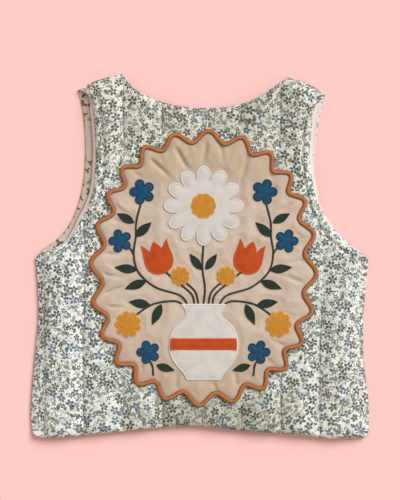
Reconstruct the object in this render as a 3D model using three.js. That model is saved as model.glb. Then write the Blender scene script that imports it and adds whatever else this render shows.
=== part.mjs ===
// A child's quilted cotton waistcoat, laid flat on its fronts with the back uppermost.
// Millimetres. +X to the right and +Y towards the neck as the back is looked down on, +Z up.
// The origin lies on the surface, under the middle of the garment.
import * as THREE from 'three';

// Cloth thicknesses and heights above the surface
const SEAM_GAP = 0.3; // between pieces that are sewn together
const FRONT_CLOTH = 3.4; // outer cloth and wadding of a front, pressed flat by the back
const LINING_CLOTH = 0.8;
const LINING_EDGE_DROP = 0.7; // the lining dips this much towards a front's free edges
const LINING_Z = FRONT_CLOTH + SEAM_GAP;
const LAID_GAP = 0.5; // between the linings and the back that lies on them
const BACK_Z = LINING_Z + LINING_CLOTH + LAID_GAP; // the plain inside of the back
const EDGE_CLOTH = 1.8; // at a turned or seamed edge
const STITCHED_CLOTH = 2.2; // in the valley along a line of quilting
const PUFF_RISE = 3.6; // from that valley up to the crown of a channel
const PUFF_FULLNESS = 0.75; // below 1 the channels stand fuller than a sine
const PATCH_BED = 5; // the back under the medallion, where the channels are sewn down
const BED_BLEND = 0.08; // the channels rise again over this share of the medallion's size
const FREE_ROLL = 8; // how far in from a free edge the cloth reaches its full thickness
const SEAM_ROLL = 13; // the same from a side or shoulder seam, which rolls over
const NECK_SAG = 4; // the back sinks this far where no front lies under it
const NECK_SAG_HALF_WIDTH = 48;
const NECK_SAG_START_Y = 128;
const NECK_SAG_LENGTH = 18;

// Quilting: straight channels down the back
const STITCH_PITCH = 39.4;
const FIRST_STITCH_X = -156;
const STITCH_LINES = 9;

// The panels' outlines
const LEFT_NECK_POINT = { x: -78.5, y: 182.2 };
const RIGHT_NECK_POINT = { x: 89, y: 179 };
const CENTRE_FRONT_GAP = 2;
const FRONT_HEM_RISE = 3; // the fronts end this far above the back's hem

const LEFT_SIDE = [
  { x: -168, y: -174 },
  { x: -169, y: -158 },
  { x: -167, y: -124 },
  { x: -164, y: -92 },
  { x: -161.4, y: -58 },
  { x: -162.4, y: -28 },
  { x: -164.4, y: -2 },
];
const RIGHT_SIDE = [
  { x: 168.6, y: -175 },
  { x: 169, y: -150 },
  { x: 166, y: -124 },
  { x: 163.6, y: -100 },
  { x: 163.4, y: -62 },
  { x: 165.6, y: -36 },
  { x: 168, y: -9 },
];
const BACK_LEFT_ARMHOLE = [
  { x: -164.4, y: -2 },
  { x: -157, y: 5 },
  { x: -144, y: 8 },
  { x: -130, y: 17 },
  { x: -119, y: 37 },
  { x: -108, y: 62 },
  { x: -104.3, y: 98 },
  { x: -106, y: 138 },
  { x: -111, y: 159 },
  { x: -120, y: 166 },
];
const BACK_RIGHT_ARMHOLE = [
  { x: 168, y: -9 },
  { x: 163, y: 3 },
  { x: 151, y: 9 },
  { x: 133, y: 25 },
  { x: 121, y: 44 },
  { x: 113.5, y: 70 },
  { x: 110, y: 98 },
  { x: 111.5, y: 126 },
  { x: 115, y: 147 },
  { x: 124, y: 161 },
];
const FRONT_LEFT_ARMHOLE = [
  { x: -164.4, y: -2 },
  { x: -157, y: 6 },
  { x: -143, y: 16 },
  { x: -129, y: 33 },
  { x: -120, y: 56 },
  { x: -115, y: 82 },
  { x: -114, y: 110 },
  { x: -115.6, y: 138 },
  { x: -118.4, y: 154 },
  { x: -121.6, y: 166 },
];
const FRONT_RIGHT_ARMHOLE = [
  { x: 168, y: -9 },
  { x: 164, y: 2 },
  { x: 151, y: 10 },
  { x: 135, y: 26 },
  { x: 123, y: 44 },
  { x: 116, y: 62 },
  { x: 114, y: 90 },
  { x: 117, y: 124 },
  { x: 121.6, y: 148 },
  { x: 125, y: 161 },
];
const HEM = [
  { x: -169, y: -170 },
  { x: -166, y: -178 },
  { x: -160, y: -181 },
  { x: -140, y: -181.4 },
  { x: -96, y: -177 },
  { x: -54, y: -173 },
  { x: -20, y: -169.6 },
  { x: 8, y: -170.6 },
  { x: 48, y: -175 },
  { x: 96, y: -178.4 },
  { x: 130, y: -182.2 },
  { x: 160, y: -181.2 },
  { x: 167, y: -180.2 },
  { x: 169, y: -176 },
];
const LEFT_SHOULDER = [{ x: -121.6, y: 166 }, { x: -104, y: 175.4 }, { x: -88, y: 179.6 }, LEFT_NECK_POINT];
const RIGHT_SHOULDER = [RIGHT_NECK_POINT, { x: 104, y: 174 }, { x: 116, y: 168 }, { x: 125, y: 161 }];
const BACK_NECK = [
  LEFT_NECK_POINT,
  { x: -72, y: 174 },
  { x: -64, y: 166 },
  { x: -48, y: 157.6 },
  { x: -27, y: 151 },
  { x: 2, y: 148 },
  { x: 32, y: 150 },
  { x: 56, y: 157.6 },
  { x: 80, y: 172.6 },
  RIGHT_NECK_POINT,
];
// The front neck runs down to the centre front, out of sight under the back.
const FRONT_LEFT_NECK = [
  LEFT_NECK_POINT,
  { x: -74, y: 166 },
  { x: -64, y: 146 },
  { x: -48, y: 124 },
  { x: -24, y: 100 },
  { x: -CENTRE_FRONT_GAP / 2, y: 88 },
];
const FRONT_RIGHT_NECK = [
  { x: CENTRE_FRONT_GAP / 2, y: 88 },
  { x: 28, y: 100 },
  { x: 54, y: 124 },
  { x: 72, y: 146 },
  { x: 83, y: 164 },
  RIGHT_NECK_POINT,
];

// Mesh steps
const EDGE_PITCH = 4; // between points along an edge
const BORDER = 3; // width of the strip that follows every edge
const NEAREST = 1; // points closer than this are one
const SIDE_ROWS = 11;
const ARMHOLE_ROWS = 12;
const CORNER_RISES = [-4]; // further rows below the first and above the last, for the corners
const SHOULDER_RISES = [6, 12, 18];
const CORNER_COLUMNS = [-165.5, -161, 162.5, 166.5];
const FRONT_COLUMNS = 10;
const FRONT_COLUMN_PITCH = 17;
const PUFF_STEPS = [0, 0.1, 0.28, 0.5, 0.72, 0.9]; // across one channel, from one line of stitching

// The medallion sewn on the back: an oval patch with a corded, evenly waved edge
const MEDALLION = { x: 3.5, y: -12, halfWidth: 106, halfHeight: 130, waves: 24, waveDepth: 5.4 };
const STEPS_PER_WAVE = 8;
const PATCH_CLOTH = 1.2;
const CORD_HALF_WIDTH = 2.4;
const CORD_HEIGHT = 2.8;
const MOTIF_CLOTH = 1;
const PATCH_Z = BACK_Z + PATCH_BED + SEAM_GAP;
const MOTIF_Z = PATCH_Z + PATCH_CLOTH + SEAM_GAP;
const SECOND_MOTIF_Z = MOTIF_Z + MOTIF_CLOTH + SEAM_GAP;

const COLOURS = {
  print: 0xdfe0d6,
  lining: 0xd9c8b6,
  patch: 0xd0b79c,
  cord: 0xc0662a,
  white: 0xe4dfd9,
  orange: 0xd9541a,
  blue: 0x17527f,
  mustard: 0xd9962a,
  green: 0x223a33,
};

const clamp = (value, low, high) => Math.min(Math.max(value, low), high);
const smooth = (t) => clamp(t, 0, 1) ** 2 * (3 - 2 * clamp(t, 0, 1));
const roundOver = (t) => Math.sqrt(1 - (1 - clamp(t, 0, 1)) ** 2); // a quarter circle, 0 at the edge

// Curves

// Evenly spaced points along the smooth curve through a table's points.
function alongCurve(table, steps) {
  const curve = new THREE.SplineCurve(table.map(({ x, y }) => new THREE.Vector2(x, y)));
  return curve.getSpacedPoints(steps);
}

// Height of a table's curve at x, straight between its points, and level beyond its ends.
function heightAt(table, x) {
  const next = table.findIndex((point) => point.x >= x);
  if (next === 0) return table[0].y;
  if (next < 0) return table[table.length - 1].y;
  const a = table[next - 1];
  const b = table[next];
  return a.y + ((b.y - a.y) * (x - a.x)) / (b.x - a.x);
}

// A table's curve as points a few millimetres apart.
function dense(table) {
  const curve = new THREE.SplineCurve(table.map(({ x, y }) => new THREE.Vector2(x, y)));
  return curve.getSpacedPoints(Math.ceil(curve.getLength() / EDGE_PITCH));
}

// Several tables' curves end to end, each starting where the one before it ends.
const joined = (...tables) => tables.flatMap((table, i) => dense(table).slice(i ? 1 : 0));

function distanceToLine(line, x, y) {
  let nearest = Infinity;
  for (let i = 1; i < line.length; i += 1) {
    const a = line[i - 1];
    const b = line[i];
    const run = (b.x - a.x) ** 2 + (b.y - a.y) ** 2;
    const t = clamp(((x - a.x) * (b.x - a.x) + (y - a.y) * (b.y - a.y)) / run, 0, 1);
    nearest = Math.min(nearest, Math.hypot(x - a.x - t * (b.x - a.x), y - a.y - t * (b.y - a.y)));
  }
  return nearest;
}

// Panels

// The rows of a panel from hem to shoulder, each from a point of its left edge to one of its right edge.
function rowsBetween(leftEdges, rightEdges) {
  const steps = [SIDE_ROWS, ARMHOLE_ROWS];
  const side = (edges) => edges.flatMap((edge, i) => alongCurve(edge, steps[i]).slice(i));
  const left = side(leftEdges);
  const right = side(rightEdges);
  const rows = left.map((point, i) => ({ left: point, right: right[i] }));
  const lifted = ({ left: l, right: r }, rise) => ({
    left: { x: l.x, y: l.y + rise },
    right: { x: r.x, y: r.y + rise },
  });
  const corner = CORNER_RISES.map((rise) => lifted(rows[0], rise));
  const shoulder = SHOULDER_RISES.map((rise) => lifted(rows[rows.length - 1], rise));
  return [...corner, ...rows, ...shoulder];
}

// Grid points of a panel. Columns keep their x and rows their height, held inside a border strip
// that follows the edges.
function gridOf({ rows, columns, hem, top }) {
  const inside = (value, low, high) => clamp(value, Math.min(low, high), Math.max(low, high));
  const point = (row, x, place) => {
    const across = (x - row.left.x) / (row.right.x - row.left.x);
    const y = row.left.y + (row.right.y - row.left.y) * across;
    const low = heightAt(hem, x);
    const high = heightAt(top, x);
    if (place === 'hem') return { x, y: low };
    if (place === 'top') return { x, y: high };
    return { x, y: inside(y, low + BORDER, high - BORDER) };
  };
  const line = (row, place) => [
    point(row, row.left.x, place),
    ...columns.map((x) => point(row, inside(x, row.left.x + BORDER, row.right.x - BORDER), place)),
    point(row, row.right.x, place),
  ];
  return [
    line(rows[0], 'hem'),
    ...rows.map((row) => line(row, 'between')),
    line(rows[rows.length - 1], 'top'),
  ];
}

// Numbers a grid's points, joining those that fall together, and cuts its cells into triangles that face up.
function triangulate(grid) {
  const points = [];
  const number = ({ x, y }) => {
    const known = points.findIndex((point) => Math.hypot(point.x - x, point.y - y) < NEAREST);
    return known < 0 ? points.push({ x, y }) - 1 : known;
  };
  const ids = grid.map((line) => line.map(number));
  const area = (a, b, c) =>
    (points[b].x - points[a].x) * (points[c].y - points[a].y) -
    (points[c].x - points[a].x) * (points[b].y - points[a].y);
  const triangles = [];
  for (let i = 1; i < ids.length; i += 1) {
    for (let k = 1; k < ids[i].length; k += 1) {
      const [a, b, c, d] = [ids[i - 1][k - 1], ids[i - 1][k], ids[i][k], ids[i][k - 1]];
      const split = [
        [[a, b, c], [a, c, d]],
        [[a, b, d], [b, c, d]],
      ].map((pair) => pair.filter((t) => new Set(t).size === 3));
      const worst = split.map((pair) => Math.min(...pair.map((t) => area(...t))));
      triangles.push(...split[worst[1] > worst[0] ? 1 : 0]);
    }
  }
  return { points, triangles };
}

// A closed body from flat triangles, with its top and its underside at the heights that two
// functions give.
function slab({ points, triangles }, topHeight, underHeight) {
  const count = points.length;
  const position = [
    ...points.flatMap(({ x, y }) => [x, y, topHeight(x, y)]),
    ...points.flatMap(({ x, y }) => [x, y, underHeight(x, y)]),
  ];
  const index = triangles.flatMap(([a, b, c]) => [a, b, c, a + count, c + count, b + count]);
  const edges = new Set(triangles.flatMap(([a, b, c]) => [`${a},${b}`, `${b},${c}`, `${c},${a}`]));
  for (const edge of edges) {
    const [a, b] = edge.split(',').map(Number);
    if (edges.has(`${b},${a}`)) continue;
    index.push(a + count, b + count, b, a + count, b, a);
  }
  const geometry = new THREE.BufferGeometry();
  geometry.setAttribute('position', new THREE.Float32BufferAttribute(position, 3));
  geometry.setIndex(index);
  geometry.computeVertexNormals();
  return geometry;
}

// The garment's own form

const hemLine = dense(HEM);
const frontHem = hemLine.map(({ x, y }) => ({ x, y: y + FRONT_HEM_RISE }));
const seams = [LEFT_SIDE, RIGHT_SIDE, LEFT_SHOULDER, RIGHT_SHOULDER].map(dense);
const backFreeEdges = [HEM, BACK_LEFT_ARMHOLE, BACK_RIGHT_ARMHOLE, BACK_NECK].map(dense);
const centreFronts = [FRONT_LEFT_NECK.at(-1), FRONT_RIGHT_NECK[0]].map(({ x, y }) => [
  { x, y },
  { x, y: heightAt(frontHem, x) },
]);
const frontFreeEdges = [
  frontHem,
  ...[FRONT_LEFT_ARMHOLE, FRONT_RIGHT_ARMHOLE, FRONT_LEFT_NECK, FRONT_RIGHT_NECK].map(dense),
  ...centreFronts,
];

const nearestOf = (lines, x, y) => Math.min(...lines.map((line) => distanceToLine(line, x, y)));

// 0 along a line of quilting and 1 half way to the next.
function puff(x) {
  const channels = (x - FIRST_STITCH_X) / STITCH_PITCH;
  return Math.sin(Math.PI * (channels - Math.floor(channels))) ** PUFF_FULLNESS;
}

// How far a place lies out from the medallion's centre: 1 on its oval.
function medallionReach(x, y) {
  const outer = MEDALLION.waveDepth + CORD_HALF_WIDTH;
  return Math.hypot(
    (x - MEDALLION.x) / (MEDALLION.halfWidth + outer),
    (y - MEDALLION.y) / (MEDALLION.halfHeight + outer),
  );
}

// How far the back sinks in the neck, where it lies on no front.
function neckSag(x, y) {
  const across = 1 - Math.abs(x - MEDALLION.x) / NECK_SAG_HALF_WIDTH;
  return NECK_SAG * smooth(across) * smooth((y - NECK_SAG_START_Y) / NECK_SAG_LENGTH);
}

const backUnder = (x, y) => BACK_Z - neckSag(x, y);

function backTop(x, y) {
  const quilted = STITCHED_CLOTH + PUFF_RISE * puff(x);
  const outside = smooth((medallionReach(x, y) - 1) / BED_BLEND);
  const full = PATCH_BED + (quilted - PATCH_BED) * outside;
  const free = roundOver(nearestOf(backFreeEdges, x, y) / FREE_ROLL);
  const seamed = roundOver(nearestOf(seams, x, y) / SEAM_ROLL);
  return backUnder(x, y) + EDGE_CLOTH + (full - EDGE_CLOTH) * free * seamed;
}

// The underside rests flat and curls up at a seam, and half as much at a free edge.
function frontUnder(x, y) {
  const seamed = 1 - roundOver(nearestOf(seams, x, y) / SEAM_ROLL);
  const free = 1 - roundOver(nearestOf(frontFreeEdges, x, y) / FREE_ROLL);
  return (FRONT_CLOTH - EDGE_CLOTH) * Math.max(seamed, free / 2);
}

function liningDrop(x, y) {
  return LINING_EDGE_DROP * (1 - roundOver(nearestOf(frontFreeEdges, x, y) / FREE_ROLL));
}

// Materials and meshes

const CLOTH_ROUGHNESS = 0.9;
const CORD_ROUGHNESS = 0.5;
const cloth = (color) => new THREE.MeshStandardMaterial({ color, roughness: CLOTH_ROUGHNESS, metalness: 0 });
const materials = Object.fromEntries(Object.entries(COLOURS).map(([name, colour]) => [name, cloth(colour)]));
materials.cord.roughness = CORD_ROUGHNESS;

function piece(name, geometry, material) {
  const mesh = new THREE.Mesh(geometry, material);
  mesh.name = name;
  return mesh;
}

function backPanel() {
  const columns = [...CORNER_COLUMNS, LEFT_NECK_POINT.x, RIGHT_NECK_POINT.x];
  for (let i = 0; i < STITCH_LINES - 1; i += 1) {
    columns.push(...PUFF_STEPS.map((step) => FIRST_STITCH_X + (i + step) * STITCH_PITCH));
  }
  columns.push(FIRST_STITCH_X + (STITCH_LINES - 1) * STITCH_PITCH);
  columns.sort((a, b) => a - b);
  const rows = rowsBetween([LEFT_SIDE, BACK_LEFT_ARMHOLE], [RIGHT_SIDE, BACK_RIGHT_ARMHOLE]);
  const top = joined(LEFT_SHOULDER, BACK_NECK, RIGHT_SHOULDER);
  const mesh = triangulate(gridOf({ rows, columns, hem: hemLine, top }));
  return piece('back_panel', slab(mesh, backTop, backUnder), materials.print);
}

// A front and its lining, which shows past the back's armhole. side is -1 on the left and 1 on the right.
function frontPieces(side) {
  const centreX = (side * CENTRE_FRONT_GAP) / 2;
  const outer = side < 0 ? [LEFT_SIDE, FRONT_LEFT_ARMHOLE] : [RIGHT_SIDE, FRONT_RIGHT_ARMHOLE];
  const centre = outer.map((edge) => edge.map(({ y }) => ({ x: centreX, y })));
  const rows = side < 0 ? rowsBetween(outer, centre) : rowsBetween(centre, outer);
  const columns = CORNER_COLUMNS.filter((x) => x * side > 0);
  columns.push(side < 0 ? LEFT_NECK_POINT.x : RIGHT_NECK_POINT.x);
  for (let i = 1; i < FRONT_COLUMNS; i += 1) columns.push(centreX + side * i * FRONT_COLUMN_PITCH);
  columns.sort((a, b) => a - b);
  const top = side < 0 ? joined(LEFT_SHOULDER, FRONT_LEFT_NECK) : joined(FRONT_RIGHT_NECK, RIGHT_SHOULDER);
  const mesh = triangulate(gridOf({ rows, columns, hem: frontHem, top }));
  const word = side < 0 ? 'left' : 'right';
  const clothTop = (x, y) => FRONT_CLOTH - liningDrop(x, y);
  const liningUnder = (x, y) => LINING_Z - liningDrop(x, y);
  const liningTop = (x, y) => liningUnder(x, y) + LINING_CLOTH;
  return [
    piece(`front_${word}_panel`, slab(mesh, clothTop, frontUnder), materials.print),
    piece(`front_${word}_lining`, slab(mesh, liningTop, liningUnder), materials.lining),
  ];
}

// The medallion and the shapes sewn on it

// Points of the waved oval, offset outwards by a distance. Waves are evenly spaced along the oval.
function wavedOval(offset) {
  const { x, y, halfWidth, halfHeight, waves, waveDepth } = MEDALLION;
  const oval = new THREE.EllipseCurve(x, y, halfWidth, halfHeight);
  const steps = waves * STEPS_PER_WAVE;
  const centreline = Array.from({ length: steps }, (_, i) => {
    const at = oval.getPointAt(i / steps);
    const along = oval.getTangentAt(i / steps);
    const wave = waveDepth * Math.cos((2 * Math.PI * i) / STEPS_PER_WAVE);
    return new THREE.Vector2(at.x + along.y * wave, at.y - along.x * wave);
  });
  return centreline.map((point, i) => {
    const before = centreline[(i + steps - 1) % steps];
    const after = centreline[(i + 1) % steps];
    const along = after.clone().sub(before).normalize();
    return new THREE.Vector2(point.x + along.y * offset, point.y - along.x * offset);
  });
}

// A flat piece of cloth of the given outline, lying from one height up to another.
function flatPiece(outline, bottom, thickness) {
  const geometry = new THREE.ExtrudeGeometry(new THREE.Shape(outline), {
    depth: thickness,
    bevelEnabled: false,
  });
  geometry.translate(0, 0, bottom);
  return geometry;
}

// A ring with the given section carried round the waved oval. The section's points run over its top
// from the inner side to the outer one.
function ringAlong(section, bottom) {
  const lines = section.map(({ across }) => wavedOval(across));
  const steps = lines[0].length;
  const position = [];
  for (let i = 0; i < steps; i += 1) {
    section.forEach(({ up }, k) => position.push(lines[k][i].x, lines[k][i].y, bottom + up));
  }
  const index = [];
  for (let i = 0; i < steps; i += 1) {
    for (let k = 0; k < section.length; k += 1) {
      const next = ((i + 1) % steps) * section.length;
      const a = i * section.length + k;
      const b = i * section.length + ((k + 1) % section.length);
      const c = next + ((k + 1) % section.length);
      const d = next + k;
      index.push(a, b, c, a, c, d);
    }
  }
  const geometry = new THREE.BufferGeometry();
  geometry.setAttribute('position', new THREE.Float32BufferAttribute(position, 3));
  geometry.setIndex(index);
  geometry.computeVertexNormals();
  return geometry;
}

const CORD_SECTION = [
  { across: -1, up: 0 },
  { across: -0.93, up: 0.5 },
  { across: -0.45, up: 0.95 },
  { across: 0.45, up: 0.95 },
  { across: 0.93, up: 0.5 },
  { across: 1, up: 0 },
].map(({ across, up }) => ({ across: across * CORD_HALF_WIDTH, up: up * CORD_HEIGHT }));

function medallionPieces() {
  const patch = wavedOval(-CORD_HALF_WIDTH - SEAM_GAP);
  return [
    piece('medallion_patch', flatPiece(patch, PATCH_Z, PATCH_CLOTH), materials.patch),
    piece('medallion_cord', ringAlong(CORD_SECTION, PATCH_Z), materials.cord),
  ];
}

// A bouquet in a vase, the same on both sides of the medallion's middle. Its stems are sewn in thread.
// Places are from the medallion's centre, turns in radians from +X.
const VASE_SIDE = [
  { x: 17, y: -112 },
  { x: 20, y: -106 },
  { x: 31, y: -92 },
  { x: 35, y: -76 },
  { x: 30, y: -60 },
  { x: 19, y: -49 },
  { x: 18, y: -43 },
  { x: 23, y: -36 },
];
const VASE_STEPS = 16;
const VASE_BAND = { bottom: -82, top: -70, inset: 1.5 };
const DAISY = { x: 0, y: 62, radius: 40, turn: -Math.PI / 2 };
const DAISY_FORM = { petals: 12, notch: 0.3, steps: 6 };
const DAISY_CENTRE = { x: 0, y: 62, radius: 13 };
const DAISY_CENTRE_FORM = { petals: 10, notch: 0.1, steps: 3 };
const TULIP = { x: 45, y: 10, width: 29, height: 33, lean: -0.28 };
const BLUE_FLOWERS = [
  { x: 61, y: 76, radius: 13 },
  { x: 83, y: 27, radius: 12 },
  { x: 55, y: -84, radius: 12 },
];
const BLUE_FORM = { petals: 5, notch: 0.45, steps: 7 };
const MUSTARD_FLOWERS = [
  { x: 23, y: -8, radius: 10 },
  { x: 75, y: -56, radius: 13.5 },
];
const MUSTARD_FORM = { petals: 9, notch: 0.22, steps: 4 };
const PETAL_FULLNESS = 0.6; // below 1 the petals' ends are blunter than a sine
const LEAVES = [
  { x: 2, y: -2, length: 20, width: 8, turn: 0.95 },
  { x: 57, y: -13, length: 23, width: 9, turn: -0.35 },
  { x: 66, y: -2, length: 23, width: 9, turn: 0.12 },
  { x: 68, y: 31, length: 22, width: 9, turn: 2.4 },
  { x: 69, y: 45, length: 20, width: 8.5, turn: 0.5 },
  { x: 42, y: -36, length: 23, width: 9, turn: -1.15 },
  { x: 53, y: -37, length: 22, width: 9, turn: 0.15 },
  { x: 47, y: -97, length: 19, width: 8, turn: -2.85 },
];

// A round flower whose edge dips between its petals by notch, a part of its radius.
function flowerOutline({ x, y, radius, turn = 0 }, { petals, notch, steps }) {
  const count = petals * steps;
  return Array.from({ length: count }, (_, i) => {
    const angle = (2 * Math.PI * i) / count;
    const open = Math.abs(Math.cos((petals * angle) / 2)) ** PETAL_FULLNESS;
    const reach = radius * (1 - notch + notch * open);
    return new THREE.Vector2(x + reach * Math.cos(angle + turn), y + reach * Math.sin(angle + turn));
  });
}

// A pointed leaf from its foot at x, y.
function leafOutline({ x, y, length, width, turn }) {
  const steps = 7;
  const edge = (side) =>
    Array.from({ length: steps }, (_, i) => {
      const t = side < 0 ? i / steps : 1 - i / steps;
      const across = (side * width * Math.sin(Math.PI * t ** 0.85)) / 2;
      return new THREE.Vector2(
        x + length * t * Math.cos(turn) - across * Math.sin(turn),
        y + length * t * Math.sin(turn) + across * Math.cos(turn),
      );
    });
  return [...edge(-1), ...edge(1)];
}

// A cup of three pointed petals, in parts of its width and height.
function tulipOutline({ x, y, width, height, lean }) {
  const half = new THREE.Path()
    .moveTo(0, -0.5)
    .bezierCurveTo(0.3, -0.5, 0.5, -0.32, 0.5, -0.05)
    .bezierCurveTo(0.5, 0.16, 0.44, 0.3, 0.47, 0.5)
    .quadraticCurveTo(0.3, 0.42, 0.23, 0.2)
    .quadraticCurveTo(0.14, 0.42, 0, 0.52);
  return mirrored(half.getPoints(4)).map(
    ({ x: across, y: up }) =>
      new THREE.Vector2(
        x + across * width * Math.cos(lean) - up * height * Math.sin(lean),
        y + across * width * Math.sin(lean) + up * height * Math.cos(lean),
      ),
  );
}

// Closes the right half of an outline, from its foot up to its head, with its mirror image.
function mirrored(half) {
  const left = half.filter(({ x }) => x > 0).map(({ x, y }) => new THREE.Vector2(-x, y));
  return [...half, ...left.reverse()];
}

// The part of the vase's right side between two heights, moved in from its edge.
function vaseBandSide(side, { bottom, top, inset }) {
  const widths = side.map(({ x, y }) => ({ x: y, y: x }));
  const between = side.filter(({ y }) => y > bottom && y < top);
  const ends = [bottom, top].map((y) => ({ x: heightAt(widths, y), y }));
  return [ends[0], ...between, ends[1]].map(({ x, y }) => new THREE.Vector2(x - inset, y));
}

// An outline turned over to the left side when side is -1, then moved to the medallion's centre.
function placed(outline, side = 1) {
  const moved = outline.map(({ x, y }) => new THREE.Vector2(MEDALLION.x + side * x, MEDALLION.y + y));
  return side < 0 ? moved.reverse() : moved;
}

function motifPieces() {
  const onPatch = (name, outline, material, side) =>
    piece(name, flatPiece(placed(outline, side), MOTIF_Z, MOTIF_CLOTH), material);
  const onTop = (name, outline, material) =>
    piece(name, flatPiece(placed(outline), SECOND_MOTIF_Z, MOTIF_CLOTH), material);
  const vaseSide = alongCurve(VASE_SIDE, VASE_STEPS);
  const pieces = [
    onPatch('vase', mirrored(vaseSide), materials.white),
    onTop('vase_band', mirrored(vaseBandSide(vaseSide, VASE_BAND)), materials.orange),
    onPatch('daisy', flowerOutline(DAISY, DAISY_FORM), materials.white),
    onTop('daisy_centre', flowerOutline(DAISY_CENTRE, DAISY_CENTRE_FORM), materials.mustard),
  ];
  for (const [word, side] of [['left', -1], ['right', 1]]) {
    const add = (name, outline, material) => pieces.push(onPatch(`${name}_${word}`, outline, material, side));
    add('tulip', tulipOutline(TULIP), materials.orange);
    BLUE_FLOWERS.forEach((flower, i) => {
      add(`blue_flower_${i + 1}`, flowerOutline(flower, BLUE_FORM), materials.blue);
    });
    MUSTARD_FLOWERS.forEach((flower, i) => {
      add(`mustard_flower_${i + 1}`, flowerOutline(flower, MUSTARD_FORM), materials.mustard);
    });
    LEAVES.forEach((leaf, i) => add(`leaf_${i + 1}`, leafOutline(leaf), materials.green));
  }
  return pieces;
}

const waistcoat = new THREE.Group();
waistcoat.name = 'quilted_waistcoat';
waistcoat.add(backPanel(), ...frontPieces(-1), ...frontPieces(1), ...medallionPieces(), ...motifPieces());
const middle = new THREE.Box3().setFromObject(waistcoat).getCenter(new THREE.Vector3());
waistcoat.position.set(-middle.x, -middle.y, 0);

export default waistcoat;
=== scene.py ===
"""The looks of a child's quilted cotton waistcoat, laid flat with its back uppermost.

Shapes are worked out in millimetres, with +X to the right, +Y towards the neck and +Z up, and are
turned into metres when their mesh is made.
"""

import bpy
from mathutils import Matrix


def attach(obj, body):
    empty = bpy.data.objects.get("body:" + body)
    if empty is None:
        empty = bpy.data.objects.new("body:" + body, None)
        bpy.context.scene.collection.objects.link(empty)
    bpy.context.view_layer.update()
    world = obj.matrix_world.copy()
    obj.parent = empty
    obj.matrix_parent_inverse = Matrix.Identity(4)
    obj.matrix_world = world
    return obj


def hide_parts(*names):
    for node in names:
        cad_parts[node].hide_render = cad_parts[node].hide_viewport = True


bl_info = {
    "name": "Quilted Waistcoat",
    "version": (1, 0, 0),
    "blender": (4, 5, 0),
    "location": "View3D > Sidebar > Waistcoat",
    "description": "Quilted cotton, applique, piping and stitching of a child's waistcoat",
    "category": "Object",
}

import bpy
import numpy as np
from bpy.props import FloatProperty, FloatVectorProperty, PointerProperty
from mathutils import Vector

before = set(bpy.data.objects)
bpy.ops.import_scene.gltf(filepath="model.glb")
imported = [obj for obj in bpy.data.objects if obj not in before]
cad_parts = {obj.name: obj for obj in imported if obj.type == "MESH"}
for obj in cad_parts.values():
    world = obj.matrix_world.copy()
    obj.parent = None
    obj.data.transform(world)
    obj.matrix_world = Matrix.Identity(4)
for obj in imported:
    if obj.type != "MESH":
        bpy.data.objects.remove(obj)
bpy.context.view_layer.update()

MM = 0.001
MAP_MIDDLE = 0.5  # where the cloth map has the garment's middle
MIDDLE = np.array([-0.04, 0.03, 0.0])  # brings the garment's middle to the origin

# Outlines of the panels
LEFT_NECK_POINT = (-78.5, 182.2)
RIGHT_NECK_POINT = (89, 179)
LEFT_SHOULDER_POINT = (-121.6, 166)
RIGHT_SHOULDER_POINT = (125, 161)
LEFT_PIT = (-164.4, -2)
RIGHT_PIT = (168.3, -5)
HEM_LEFT = (-168, -174)
HEM_RIGHT = (168.6, -175)
LEFT_SIDE = [HEM_LEFT, (-169, -158), (-167, -124), (-164, -92), (-161.4, -58), (-162.4, -28), LEFT_PIT]
RIGHT_SIDE = [HEM_RIGHT, (169, -150), (166, -124), (163.6, -100), (163.4, -62), (165.6, -36), RIGHT_PIT]
BACK_LEFT_ARMHOLE = [
    LEFT_PIT, (-157, 5), (-144, 8), (-130, 17), (-119, 37), (-108, 62),
    (-104.3, 98), (-106, 138), (-111, 159), LEFT_SHOULDER_POINT,
]
BACK_RIGHT_ARMHOLE = [
    RIGHT_PIT, (163.4, 1.6), (151, 9), (133, 25), (121, 44), (113.5, 70),
    (110, 98), (111.5, 126), (115, 147), RIGHT_SHOULDER_POINT,
]
FRONT_LEFT_ARMHOLE = [
    LEFT_PIT, (-157, 6), (-143, 16), (-129, 33), (-120, 56), (-115, 82),
    (-114, 110), (-115.6, 138), (-118.4, 154), LEFT_SHOULDER_POINT,
]
FRONT_RIGHT_ARMHOLE = [
    RIGHT_PIT, (163.6, 1.4), (151, 10), (135, 26), (123, 44), (116, 62),
    (114, 90), (117, 124), (121.6, 148), RIGHT_SHOULDER_POINT,
]
HEM = [
    HEM_LEFT, (-166, -178), (-160, -181), (-140, -181.4), (-96, -177), (-54, -173), (-20, -169.6),
    (8, -170.6), (48, -175), (96, -178.4), (130, -182.2), (160, -181.2), (167, -180.2), HEM_RIGHT,
]
LEFT_SHOULDER = [LEFT_SHOULDER_POINT, (-104, 175.4), (-88, 179.6), LEFT_NECK_POINT]
RIGHT_SHOULDER = [RIGHT_NECK_POINT, (104, 174), (116, 168), RIGHT_SHOULDER_POINT]
BACK_NECK = [
    LEFT_NECK_POINT, (-72, 174), (-64, 166), (-48, 157.6), (-27, 151), (2, 148), (32, 150),
    (56, 157.6), (80, 172.6), RIGHT_NECK_POINT,
]
CENTRE_FRONT = 1
FRONT_LEFT_NECK = [LEFT_NECK_POINT, (-74, 166), (-64, 146), (-48, 124), (-24, 100), (-CENTRE_FRONT, 88)]
FRONT_RIGHT_NECK = [(CENTRE_FRONT, 88), (28, 100), (54, 124), (72, 146), (83, 164), RIGHT_NECK_POINT]
FRONT_HEM_RISE = 3

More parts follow.
